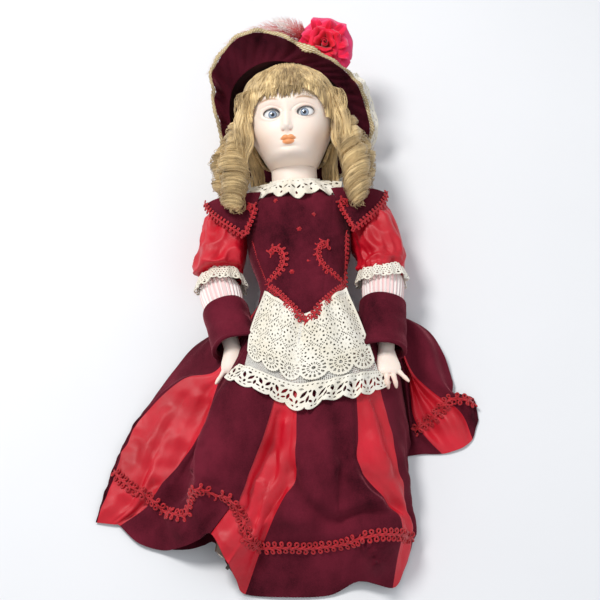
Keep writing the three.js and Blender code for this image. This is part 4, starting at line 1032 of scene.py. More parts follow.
# ---- wings over the shoulders ----
for side, name in ((1, "left"), (-1, "right")):
    t, s = np.meshgrid(np.linspace(0, 1, 40), np.linspace(0, 1, 40), indexing="ij")
    inner = np.stack([38 + 20 * t, 119 - 52 * t], -1)
    trimmed = np.stack([49 + 9 * t - 8 * np.sin(t * math.pi) * (1 - t), 110 - 43 * t], -1)
    outer = np.stack([99 - 40 * t**1.6, 118 - 51 * t], -1)
    flat = inner * (1 - s[..., None]) + outer * s[..., None]
    x, y = flat[..., 0], flat[..., 1]
    z = 76 - 0.0115 * np.clip(x - 62, 0, None) ** 2
    z = np.maximum(z, chest(x, y) + 2.6 - 0.5 * np.clip(x - 50, 0, None)) + 0.9 * ripple(x, y, 24, 31)
    wing = np.stack([side * x, y, z], -1)
    quads = grid_quads(40, 40)
    made = piece(f"wing_{name}", wing.reshape(-1, 3), quads if side < 0 else quads[:, ::-1],
                 LOOKS["velvet"],
                 replaces=[f"shoulder_wing_{name}"])
    thicken(made, 1.6, 0.0)
    as_sheet(wing, quads)
    scroll = np.array([[51, 97], [53.5, 99.5], [52, 103], [48.5, 104], [45.5, 101]])
    edge = np.vstack([outer[:, 0], trimmed[::-1, 0][:30]])[::5]
    edge = np.vstack([edge, scroll[::-1]])
    ex, ey = edge[:, 0], edge[:, 1]
    ez = 76 - 0.0115 * np.clip(ex - 62, 0, None) ** 2
    ez = np.maximum(ez, chest(ex, ey) + 2.6 - 0.5 * np.clip(ex - 50, 0, None)) + 1.2
    path = along(np.stack([side * ex, ey, ez], -1), 170, even=True)
    trim = loop_braid(f"wing_braid_{name}", path, outward(path, (0, 90, 30)), None, 8.8, pitch=4.9)
    for one in (made, trim):
        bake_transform(one)


# ---- collar ----
def collar_place(u, v):
    angle = -math.pi * 0.62 + u / COLLAR_WIDE * math.pi * 2.24
    s = v / COLLAR_DEEP
    c, h = np.cos(angle), np.sin(angle)
    inner_x, inner_y, inner_z = 26.5 * c, 138 - 7 * h, 54 + 26.5 * h
    outer_x, outer_z = 52 * c, 54 + 37 * h
    outer_y = 138 - 33 * np.clip(h, 0, 1) ** 0.7 + 2.5 * np.sin(angle * 7)
    x, z = inner_x + (outer_x - inner_x) * s, inner_z + (outer_z - inner_z) * s**0.7
    y = inner_y + (outer_y - inner_y) * s**1.2
    z = z + (1.8 + 1.6 * s) * np.sin(angle * 15 + 0.6 * np.sin(angle * 4)) * s
    y = y + 1.6 * np.cos(angle * 11) * s
    z = np.where(h > 0.1, np.maximum(z, chest(x, y) + 1.8 + 1.2 * np.sin(angle * 13) * s), z)
    return np.stack([x, y, np.maximum(z, 1.5)], -1)


COLLAR_WIDE, COLLAR_DEEP = 270.0, 27.0
lace_piece("collar_lace", collar_place, (COLLAR_WIDE, COLLAR_DEEP), crochet(COLLAR_WIDE, COLLAR_DEEP, 13.5),
           LOOKS["lace"],
           "torso", replaces=["collar"], cell=0.6, thickness=1.0)


# ---- sleeves ----
def rings(stations, count):
    """Rings across the arm: x, y, z, half width, half depth."""
    rows = along(stations, count)
    x, y, z, wide, deep = (rows[:, k : k + 1] for k in range(5))
    return x, y, z, wide, deep


ELBOWS = {"right": (-92, 17, 38), "left": (90, 13, 44)}
SLEEVE_SHIFT = 4.5
SLEEVE_LIFT = {"right": 5.0, "left": 0.0}
WRISTS = {"right": (-78, -58, 64), "left": (81, -71, 60)}
for name, side in (("right", -1), ("left", 1)):
    elbow, wrist = np.array(ELBOWS[name], float), np.array(WRISTS[name], float)
    lift = SLEEVE_LIFT[name]
    inner_x = elbow[0] - side * SLEEVE_SHIFT
    stations = [
        [side * 76, 118, 46, 9, 10], [side * 79, 108, 46, 18, 18], [side * 81.5, 90, 45, 24.5, 23],
        [side * 85, 64, 44, 27, 27],
        [side * 88, 44, 44, 25.5, 26], [inner_x, elbow[1] + lift + 20, elbow[2] + 2, 23.5, 22],
        [inner_x, elbow[1] + lift + 11, elbow[2] + 2, 20.5, 19],
    ]
    angle = np.linspace(0, 2 * math.pi, 161)[:-1]
    x, y, z, wide, deep = rings(stations, 96)
    v = np.linspace(0, 1, 96)[:, None]
    pleat = 1.1 * np.sin(angle * 17 + 2 * np.sin(angle * 3)) * (bell(v, 0, 0.25) + bell(v, 1, 0.22))
    broad = 1.9 * ripple(angle * 22 + 9 * side, v * 95, 42, 40 + side) + 1.2 * ripple(angle * 20, v * 60,
        17, 44 + side)
    broad = broad * (1 - bell(angle, 0, 0.3) - bell(angle, 2 * math.pi, 0.3)) + 1.8 * np.sin(angle * 5
        + 7 * v) * bell(v, 0.55, 0.35)
    crisp = 3.0 * (0.5 - np.abs(ripple(angle * 24 + 10 * v, v * 55, 26, 47 + side))) + 1.6 * (0.4
        - np.abs(ripple(angle * 20 - 12 * v, v * 70, 15, 52 + side)))
    crisp = crisp * (1 - bell(angle, 0, 0.35) - bell(angle, 2 * math.pi, 0.35))
    grow = pleat + (broad + crisp) * np.sin(v * math.pi) ** 0.5
    puff = np.stack([x + (wide + grow) * np.cos(angle), y + 0 * angle + 1.5 * np.sin(angle * 2) * v,
                     z + (deep + grow) * np.sin(angle)], -1)
    puff[..., 2] = np.maximum(puff[..., 2], 1.5)
    quads = grid_quads(96, 160, wrap=True)
    made = piece(f"puff_satin_{name}", puff.reshape(-1, 3), quads[:, ::-1], LOOKS["satin"],
                 replaces=[f"puff_sleeve_{name}"])
    thicken(made, 1.0)
    as_sheet(puff, quads)
    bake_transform(made)

    def band_place(u, v, elbow=elbow, side=side, lift=lift, inner_x=inner_x):
        a = u / 148 * 2 * math.pi
        s = v / 15
        radius = 23.5 + 4.6 * s + (0.5 + 1.4 * s) * np.sin(a * 11)
        y = elbow[1] + lift + 17 - 16 * s + 2.0 * np.sin(a * 2 + side) + 1.0 * np.cos(a * 7)
        return np.stack([inner_x + radius * np.cos(a), y,
                         np.maximum(elbow[2] + 2 + radius * 0.96 * np.sin(a), 1.2)], -1)

    band = lace_piece(f"sleeve_band_{name}", band_place, (148.0, 15.0), eyelet(148, 15, 5.29),
                      LOOKS["lace"],
                      replaces=[f"sleeve_lace_{name}"], cell=0.5, thickness=0.8)
    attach(band, f"arm_upper_{name}")

    ahead = unit(wrist - elbow)
    spine_across = unit(np.cross(ahead, [0, 0, 1.0]))
    top = np.cross(spine_across, ahead)
    marks = np.array([[-12, 18.5], [-4, 21.6], [6, 22.0], [16, 21.4], [24, 20.4], [34, 18.0]])
    fine = along(marks, 60)
    a = np.linspace(0, 2 * math.pi, 321)[:-1]
    radius = fine[:, 1:2] + 0.75 * np.sin(a * 32) * np.clip(1.2 - 0.1 * bell(a, 3, 1), 0, 1)
    middle = elbow + ahead * fine[:, :1] + np.array([0, 0, 1.0]) - np.array([side * 3.6, 0, 0])
    under_sleeve = middle[:, None] + radius[...,
                                            None] * (spine_across * np.cos(a)[:, None]
                                                + top * np.sin(a)[:, None])
    under_sleeve[..., 2] = np.maximum(under_sleeve[..., 2], 1.0)
    made = piece(f"undersleeve_cotton_{name}", under_sleeve.reshape(-1, 3), grid_quads(60, 320, wrap=True),
                 LOOKS["striped_cotton"],
                 replaces=[f"undersleeve_{name}"],
                 uv=np.stack(np.broadcast_arrays(a / (2 * math.pi), np.linspace(0, 0.4, 60)[:, None]),
                             -1).reshape(-1, 2))
    thicken(made, 0.8, 1.0)
    as_sheet(under_sleeve, grid_quads(60, 320, wrap=True))
    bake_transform(made)

    length = float(np.linalg.norm(wrist - elbow))
    marks = np.array([[24.5, 22.0], [25.5, 23.2], [32, 23.2], [45, 22.8], [60, 23.2], [length - 6, 23.6],
                      [length - 2.6, 24.2],
                      [length - 1.6, 23.6], [length - 3, 22.6], [length - 12, 22.2]])
    fine = along(marks, 110)
    a = np.linspace(0, 2 * math.pi, 145)[:-1]
    dents = 0.9 * ripple(a * 22, fine[:, :1], 30,
                         61 + side) * np.sin(a / 2) ** 0.5 + 0.5 * np.sin(a * 2 + 1)
    slant = 2.5 * np.cos(a - 1.2) * np.clip(fine[:, :1] / length, 0, 1)
    cuff = elbow - np.array([side * 4.0, 0, 0]) + ahead * (fine[:, :1] + slant)[...,
        None] + (fine[:, 1:2] + dents)[..., None] * (
        spine_across * np.cos(a)[:, None] + top * np.sin(a)[:, None])
    cuff[..., 2] = np.maximum(cuff[..., 2], 1.0)
    made = piece(f"cuff_velvet_{name}", cuff.reshape(-1, 3), grid_quads(110, 144, wrap=True),
                 LOOKS["velvet"],
                 f"arm_lower_{name}", [f"cuff_{name}"])
    thicken(made, 1.4)
    as_sheet(cuff, grid_quads(110, 144, wrap=True))

# ---- lace apron ----
APRON_TOP = [[-41, 1], [-24, -18], [-1, -36], [22, -20], [45, 1]]
APRON_MIDDLE = [[-58, -42], [-36, -62], [-7, -76], [29, -66], [59, -50]]
APRON_LOW = [[-64, -78], [-42, -98], [-12, -112], [32, -107], [69, -93]]


def over_skirt(grid, lift):
    """Rests a sheet on the skirt, smoothed so it bridges the folds."""
    z = lay_on(grid, skirt_tree, lift, fallback=-99.0)[..., 2]
    z = np.where(z < 20, chest(grid[..., 0], grid[..., 1], 7.0) + lift, z)
    for _ in range(14):
        padded = np.pad(z, 1, mode="edge")
        z = np.maximum(z, (padded[:-2, 1:-1] + padded[2:, 1:-1] + padded[1:-1, :-2] + padded[1:-1, 2:]) / 4)
    grid = grid.copy()
    grid[..., 2] = z
    return grid


def sheet_from_rows(rows, columns, count, lift, pleats):
    """A sheet through rows of points, as a function of shares (0..1, 0..1)."""
    grid = np.stack([along(row, columns) for row in rows], 0)
    grid = np.stack([along(grid[:, k], count) for k in range(columns)], 1)
    grid = np.concatenate([grid, np.zeros((*grid.shape[:2], 1))], -1)
    grid = over_skirt(grid, lift)
    grid[...,
         2] += pleats(*np.meshgrid(np.linspace(0, 1, count), np.linspace(0, 1, columns), indexing="ij"))

    def at(share_u, share_v):
        fu, fv = np.clip(share_u, 0, 1) * (columns - 1), np.clip(share_v, 0, 1) * (count - 1)
        i, j = np.minimum(fv.astype(int), count - 2), np.minimum(fu.astype(int), columns - 2)
        a, b = (fv - i)[..., None], (fu - j)[..., None]
        return (grid[i, j] * (1 - a) + grid[i + 1, j] * a) * (1 - b) + (grid[i, j + 1] * (1 - a)
            + grid[i + 1, j + 1] * a) * b

    return at


def doily(u, v, x, y, size=1.0):
    """A round crochet motif: a ringed eye, petals with holes between, and a rim."""
    r = np.hypot(u - x, v - y) / size
    angle = np.arctan2(v - y, u - x)
    eye = np.maximum(0.9 - np.abs(r - 1.7), 0.55 - r)
    petals = np.where((r > 2.4) & (r < 5.4), 0.34 * r * (np.cos(angle * 8) + 0.25), -1.0)
    rim = 0.75 - np.abs(r - 6.1)
    ring_two = 0.5 - np.abs(r - 3.1)
    return np.maximum.reduce([eye, petals, rim, ring_two]) * size


def fan(u, v, x, y, size=1.0):
    """A shell of spokes that opens downwards."""
    r = np.hypot(u - x, v - y) / size
    angle = np.arctan2(v - y, u - x)
    spokes = np.where((r > 2) & (r < 9.6), 0.30 * r * (np.cos(angle * 15) - 0.05), -1.0)
    rims = np.maximum(0.8 - np.abs(r - 9.4), np.maximum(0.7 - np.abs(r - 2.2), 0.5 - np.abs(r - 5.6)))
    return np.maximum(spokes, rims) * size


APRON_WIDE = 128.0


def apron_pattern(u, v):
    net = np.maximum(0.42 - np.abs(repeat(u + v, 3.0)) / 1.41, 0.42 - np.abs(repeat(u - v, 3.0)) / 1.41)
    shape = net
    for row, y in enumerate((11, 26, 41)):
        for x in np.arange(8 + (row % 2) * 8, APRON_WIDE, 16):
            wide = 7.4
            near = np.hypot(u - x, v - y) < wide
            shape = np.where(near, doily(u, v, x, y, 1.08), shape)
    for x in np.arange(10.7, APRON_WIDE, 21.3):
        near = (np.hypot(u - x, v - 57) < 11.2) & (v > 50)
        shape = np.where(near, fan(u, v, x, 56, 1.12), shape)
    band = np.maximum(0.9 - np.abs(v - 49.5), 1.1 - np.abs(v - 1.0))
    pitch = 21.3
    low = 56 + np.sqrt(np.clip(11.9**2 - np.clip(np.abs(repeat(u - 10.7, pitch)), 0, 11.8) ** 2, 0,
                               None)) - v
    picot = 0.5 * np.cos(u * 2 * math.pi / 2.3)
    rim = 1.1 - np.abs(low - 1.0)
    shape = np.maximum.reduce([shape, band, np.where(v > 56, rim, -1)])
    side = np.minimum(u, APRON_WIDE - u)
    shape = np.maximum(shape, 1.3 - np.abs(side - 1.0))
    return np.minimum(shape, low + picot * (v > 56))


apron_at = sheet_from_rows([APRON_TOP, APRON_MIDDLE, APRON_LOW], 60, 60, 3.2,
                           lambda v,
                           u: 1.7 * np.sin(u * 38) * (1 - v) ** 1.2 + 0.9 * np.sin(u * 21 + 2 * v) + 0.8)
apron = lace_piece("apron_lace", lambda u, v: apron_at(u / APRON_WIDE, v / 69.0), (APRON_WIDE, 68.5),
                   apron_pattern,
                   LOOKS["lace"], replaces=["apron_upper"], cell=0.5, thickness=0.7)
bend_with_legs(apron)

# A sheer lining shows between the lace above and the flounce below.
SHEER_LOW = [[-66, -92], [-40, -108], [-10, -120], [34, -114], [68, -98]]
sheer_at = sheet_from_rows([APRON_TOP, APRON_LOW, SHEER_LOW], 60, 60, 2.0, lambda v,
                           u: 0.6 * np.sin(u * 30))
sheer = lace_piece(
    "apron_sheer", lambda u, v: sheer_at(u / 134, v / 92), (134.0, 92.0),
    lambda u, v: np.maximum(0.32 - np.abs(repeat(u, 1.5)), 0.32 - np.abs(repeat(v, 1.5))),
    LOOKS["net"], cell=0.5, thickness=0.3)
bend_with_legs(sheer)

FLOUNCE_TOP = [[-72, -84], [-58, -92], [-38, -104], [-12, -113], [16, -111], [40, -105], [60, -98],
               [74, -94]]
FLOUNCE_LOW = [[-90, -93], [-76, -106], [-52, -121], [-34, -130], [-11, -143], [12, -134], [40, -130],
               [60, -122], [84, -106]]
FLOUNCE_WIDE, FLOUNCE_DEEP = 186.0, 28.0


def flounce_pattern(u, v):
    pitch = 18.6
    x = repeat(u - pitch / 2, pitch)
    deep = FLOUNCE_DEEP
    shape = scallops(u - pitch / 2, v, deep, pitch, 4.5)
    shape = np.minimum(shape, shape + 0)
    shape = np.minimum(shape, leaf_field(x, v, -4.1, 12.5, 1.05, 4.4, 1.9))
    shape = np.minimum(shape, leaf_field(x, v, 4.1, 12.5, -1.05, 4.4, 1.9))
    shape = np.minimum(shape, leaf_field(x, v, 0, 7.2, 0, 2.4, 1.4))
    shape = np.minimum(shape, leaf_field(x, v, -5.2, 19.5, 0.5, 2.6, 1.2))
    shape = np.minimum(shape, leaf_field(x, v, 5.2, 19.5, -0.5, 2.6, 1.2))
    shape = np.minimum(shape, leaf_field(x, v, 0, 20.0, 1.57, 2.2, 1.2))
    shape = np.minimum(shape, leaf_field(x, v, -2.2, 24.3, 0.3, 1.4, 0.8))
    shape = np.minimum(shape, leaf_field(x, v, 2.2, 24.3, -0.3, 1.4, 0.8))
    x2 = repeat(u, pitch)
    shape = np.minimum(shape, leaf_field(x2, v, 0, 17.0, 1.57, 3.6, 1.5))
    shape = np.minimum(shape, leaf_field(x2, v, 0, 9.6, 0, 1.5, 1.4))
    shape = np.minimum(shape, leaf_field(repeat(u, pitch / 4), v, 0, 3.0, 0, 1.2, 0.9))
    return np.minimum(shape, v + 0.3)


flounce_at = sheet_from_rows([FLOUNCE_TOP,
                              (np.array(along(FLOUNCE_TOP, 9)) + np.array(along(FLOUNCE_LOW, 9))) / 2,
                              FLOUNCE_LOW], 90, 40,
                             2.6, lambda v,
                             u: 1.6 + (1.0 + 1.8 * v) * np.sin(u * 46 + 3 * np.sin(u * 9)) * 0.9)
flounce = lace_piece("flounce_lace", lambda u, v: flounce_at(u / FLOUNCE_WIDE, v / FLOUNCE_DEEP),
                     (FLOUNCE_WIDE, FLOUNCE_DEEP),
                     flounce_pattern, LOOKS["lace"], replaces=["apron_flounce"], cell=0.55, thickness=0.9)
bend_with_legs(flounce)


# ---- head ----
HEAD_PROFILE = [
    (8, 23.5, 22, 22), (18, 23.2, 21.5, 21.5), (28.5, 23.2, 22.4, 22.4), (31, 24.0, 26, 24),
    (34.5, 26.2, 36, 28), (39.5, 29.0, 42.5, 34),
    (46, 32.4, 45.2, 42), (53, 36.0, 46.6, 47), (64, 41.2, 47.6, 50), (76, 45.0, 48, 52), (88, 47, 49, 52),
    (100, 46.5, 49.5, 51.5), (112, 43.5, 47, 49),
    (124, 37, 40, 43), (134, 26, 28, 33), (140, 15, 16, 20),
]
EYES_X, EYES_Y, EYES_Z, EYE_RADIUS = 17.8, 82.0, 32.4, 13.4
EYES_MIDDLE = 0.9
LID_HALF_WIDTH, LID_HALF_HEIGHT = 9.3, 6.4
NOSE_MIDDLE, LIPS_MIDDLE = -1.9, -1.2
head_rows = along(HEAD_PROFILE, 400)


def head_ring(y, angle, grow=0.0):
    wide, front, back = read_table(head_rows, y)
    across, ahead = np.cos(angle), np.sin(angle)
    square = np.where((ahead > 0) & (y > 30), 2.5, 2.1)
    reach = (np.abs(across) ** square + np.abs(ahead) ** square) ** (-1 / square)
    deep = np.where(ahead > 0, front, back) + grow
    return (wide + grow) * across * reach, deep * ahead * reach


def lid_level(x, y):
    """Zero on the edge of the eye opening, below zero inside it."""
    dx = (np.abs(x - EYES_MIDDLE) - EYES_X) / LID_HALF_WIDTH
    dy = (y - EYES_Y - 0.5 * dx) / LID_HALF_HEIGHT
    return np.abs(dx) ** 1.75 + np.abs(dy) ** 2.1 - 1


def face_relief(x, y):
    """How far the features stand out from the plain shape of the face."""
    side = np.abs(x)
    n = x - NOSE_MIDDLE
    nose = 4.3 * bell(y, 66.4, 4.4) * bell(n, 0, 3.7) + 2.8 * bell(y, 73.5, 7.0) * bell(n, 0, 3.5)
    nose += 1.2 * bell(y, 86, 9) * bell(n, 0, 5.0) + 1.5 * bell(np.abs(n), 3.9, 1.7) * bell(y, 64.2, 2.2)
    nose -= 1.5 * bell(np.abs(n), 3.0, 1.1) * bell(y, 62.0, 1.1)
    x = x - LIPS_MIDDLE
    lips = 2.3 * bell(y, 53.9, 1.8) * (bell(x, -3.0, 3.0) + bell(x, 3.0, 3.0)) + 3.0 * bell(y, 49.0,
        2.0) * bell(x, 0, 4.6)
    lips -= 1.6 * bell(y, 51.5, 0.75) * bell(x, 0, 6.2) + 0.6 * bell(x, 0, 1.1) * bell(y, 57.6, 2.2)
    chin = 2.8 * bell(y, 38.5, 5.2) * bell(x, 0, 8.0) - 1.3 * bell(y, 44.4, 2.0) * bell(x, 0, 8.0)
    cheeks = 1.8 * bell(side, 25, 11) * bell(y, 59, 11)
    level = lid_level(x, y) + 1
    ring = np.sqrt(np.maximum(level, 0.01))
    eyes = -2.0 * bell(side, EYES_X - 2, 11) * bell(y, EYES_Y, 10) - 1.4 * bell(side, EYES_X - 8,
        5) * bell(y, EYES_Y, 6)
    eyes += 0.8 * bell(ring, 1.12, 0.15) - 0.45 * bell(ring, 1.45, 0.12) * (y > EYES_Y)
    brows = 1.0 * bell(y, 95, 5) * bell(side, 18, 12)
    return nose + lips + chin + cheeks + eyes + brows


def face_front(x, y):
    """The face's surface, in its own frame, straight above (x, y)."""
    wide, front, _ = read_table(head_rows, y)
    share = np.minimum(np.abs(x) / wide, 0.98)
    return front * (1 - share**2.5) ** (1 / 2.5) + face_relief(x, y)


def lip_mask(x, y):
    x = x - LIPS_MIDDLE
    upper = 1 - (np.abs(x) / 8.6) ** 2.2 - ((y - 53.2) / (2.3 - 0.6 * np.cos(x * 1.0))) ** 2
    lower = 1 - (np.abs(x) / 6.4) ** 2.2 - ((y - 49.7) / 2.3) ** 2
    return np.clip(np.maximum(upper, lower) * 3.0, 0, 1)


def mix_tint(tint, colour, amount):
    amount = np.clip(amount, 0, 1)[..., None]
    return tint * (1 - amount) + np.asarray(colour) * amount


def face_tint(x, y, z):
    """The painting on the face: blush, lips, brows, nostrils and the dark line round the eyes, with painted
    shade under the jaw.
    """
    side = np.abs(x)
    front = np.clip(z / 12, 0, 1)
    tint = np.ones((*x.shape, 3))
    # Blush on the cheeks, and a band at y 31 all round the head where the jaw meets the neck: painted shade
    # under the chin.
    tint = mix_tint(tint, (1.0, 0.86, 0.78),
                    0.55 * (bell(side, 30, 13) * bell(y, 55, 14)) * front + 0.30 * bell(y, 31, 5))
    tint = mix_tint(tint, (1.0, 0.84, 0.80), 0.35 * bell(side, EYES_X, 12) * bell(y, 90, 5) * front)
    tint = mix_tint(tint, (0.88, 0.38, 0.13), 0.92 * lip_mask(x, y) * front)
    tint = mix_tint(tint, (0.62, 0.20, 0.10),
                    0.75 * bell(y, 51.4 + 0.05 * side, 0.6) * (np.abs(x - LIPS_MIDDLE) < 7) * front)
    tint = mix_tint(tint, (0.66, 0.30, 0.22),
                    np.clip(1.5 * bell(np.abs(x - NOSE_MIDDLE), 3.5, 1.3) * bell(y, 61.8, 1.2), 0, 0.9)
                    * front)
    ring = np.sqrt(np.maximum(lid_level(x, y) + 1, 0.01))
    tint = mix_tint(tint, (0.20, 0.16, 0.15), 0.9 * bell(ring, 1.01, 0.05) * front)
    arch = 94.5 + 2.8 * (1 - ((side - 18) / 12) ** 2)
    stroke = bell(y, arch, 1.0) * np.clip((side - 8) / 5, 0, 1) * np.clip((31 - side) / 6, 0, 1)
    tint = mix_tint(tint, (0.50, 0.33, 0.20), 0.95 * stroke * front)
    return tint


def paint(made, tint):
    colours = made.data.color_attributes.new("tint", "FLOAT_COLOR", "POINT")
    rgba = np.ones((len(made.data.vertices), 4), np.float32)
    if tint is not None:
        rgba[:, :3] = tint
    colours.data.foreach_set("color", rgba.ravel())
    return made


def make_head():
    front = np.linspace(0.10, math.pi - 0.10, 240)
    back = np.linspace(math.pi - 0.10, 2 * math.pi + 0.10, 70)[1:-1]
    angle = np.concatenate([front, back])
    y = np.concatenate([np.linspace(8, 44, 50), np.linspace(44.4, 100, 130),
                        np.linspace(100.8, 126, 24)])[:, None]
    x, z = head_ring(y, angle)
    y = np.broadcast_to(y, x.shape)
    ahead = np.clip(np.sin(angle) * 2.2 - 0.3, 0, 1) * np.ones_like(x)
    z = z + face_relief(x, y) * ahead * np.clip((y - 27) / 4, 0, 1)
    field = np.where(z > 5, lid_level(x, y), 1.0)
    tint = face_tint(x, y, z)
    data = np.concatenate([np.stack([x, y, z], -1), tint], -1).reshape(-1, 6)
    data, faces = cut_sheet(data, grid_quads(*x.shape, wrap=True)[:, ::-1], field)
    made = piece("head_bisque", from_face(data[:, :3]), faces[:, ::-1], LOOKS["bisque"], "head",
                 ["head_shell"])
    paint(made, np.clip(data[:, 3:6], 0, 1))
    thicken(made, 1.8)
    return made


make_head()


def glass_eye():
    look, tree, shader = nodes_of("eye_glass")
    place = node(tree, "ShaderNodeUVMap", uv_map="UVMap")
    split = node(tree, "ShaderNodeSeparateXYZ")
    tree.links.new(place.outputs["UV"], split.inputs["Vector"])
    threads = noise_at(tree, stretched(tree, "UV", (60, 5, 1)), 1.0, 3.0)
    wobble = node(tree, "ShaderNodeMath", operation="MULTIPLY_ADD")
    tree.links.new(threads, wobble.inputs[0])
    wobble.inputs[1].default_value = 0.035
    tree.links.new(split.outputs["Y"], wobble.inputs[2])
    colour = ramp(tree, wobble.outputs[0], [
        (0.000, (0.003, 0.003, 0.005)), (0.098, (0.003, 0.003, 0.005)), (0.112, (0.13, 0.17, 0.26)),
        (0.150, (0.34, 0.41, 0.50)),
        (0.190, (0.22, 0.29, 0.39)), (0.224, (0.030, 0.042, 0.075)), (0.244, (0.82, 0.82, 0.82)),
        (1.0, (0.86, 0.86, 0.84))])
    tree.links.new(colour.outputs["Color"], shader.inputs["Base Color"])
    set_shader(shader, Roughness=0.12, Specular_IOR_Level=0.6, Coat_Weight=1.0, Coat_Roughness=0.02)
    return look


LOOKS["eye_glass"] = glass_eye()
for name, side in (("right", -1), ("left", 1)):
    theta, phi = np.meshgrid(np.linspace(0, math.pi, 90), np.linspace(0, 2 * math.pi, 97), indexing="ij")
    radius = EYE_RADIUS + 0.7 * bell(theta, 0, 0.34)
    eye = np.stack([radius * np.sin(theta) * np.cos(phi), radius * np.sin(theta) * np.sin(phi),
                    radius * np.cos(theta)], -1)
    gaze = math.radians(-2 * side)
    x, z = eye[..., 0] * math.cos(gaze) + eye[..., 2] * math.sin(gaze), eye[...,
        2] * math.cos(gaze) - eye[..., 0] * math.sin(gaze)
    tip = math.radians(4)
    y, z = eye[..., 1] * math.cos(tip) - z * math.sin(tip), z * math.cos(tip) + eye[..., 1] * math.sin(tip)
    eye = np.stack([x + side * EYES_X + EYES_MIDDLE, y + EYES_Y, z + EYES_Z], -1)
    piece(f"eye_glass_{name}", from_face(eye).reshape(-1, 3), grid_quads(90, 97), LOOKS["eye_glass"],
          "head",
          [f"eye_{name}"],
          uv=np.stack([phi / (2 * math.pi), theta * 0.0472 * EYE_RADIUS], -1).reshape(-1, 2))

# Painted lashes and the dark line along each lid.
lines = []
for side in (-1, 1):
    turn = np.linspace(0, 2 * math.pi, 90)
    dx = np.sign(np.cos(turn)) * np.abs(np.cos(turn)) ** (2 / 1.75)
    dy = np.sign(np.sin(turn)) * np.abs(np.sin(turn)) ** (2 / 2.1)
    ex = EYES_MIDDLE + side * (EYES_X + LID_HALF_WIDTH * dx * 1.02)
    ey = EYES_Y + 0.5 * dx + LID_HALF_HEIGHT * dy * 1.02
    ez = face_front(ex, ey) + 0.05
    line = from_face(np.stack([ex, ey, ez], -1))
    lines.append(tubes(line[None], np.where(dy > 0, 0.42, 0.26)[None], 5))
    for k, t in enumerate(np.concatenate([np.linspace(0.12, 0.88, 21), np.linspace(1.15, 1.85, 15)])
                          * math.pi):
        up = math.sin(t) > 0
        s = np.linspace(0, 1, 7)
        reach = (3.0 if up else 2.0) * s
        bx = EYES_X + LID_HALF_WIDTH * 1.04 * math.copysign(abs(math.cos(t)) ** 1.14,
            math.cos(t)) + reach * (math.cos(t) * 0.75 + 0.22)
        by = EYES_Y + LID_HALF_HEIGHT * 1.04 * math.copysign(abs(math.sin(t)) ** 0.95,
            math.sin(t)) + reach * (math.sin(t) * 0.9)
        bx = EYES_MIDDLE + side * bx
        bz = face_front(bx, by) + 0.06
        lash = from_face(np.stack([bx, by, bz], -1))
        lines.append(tubes(lash[None], (0.17 * (1 - 0.7 * s))[None], 4))
points, quads, uv = joined(lines)
piece("lash_lines", points, quads, LOOKS["lash"], "head", uv=uv)

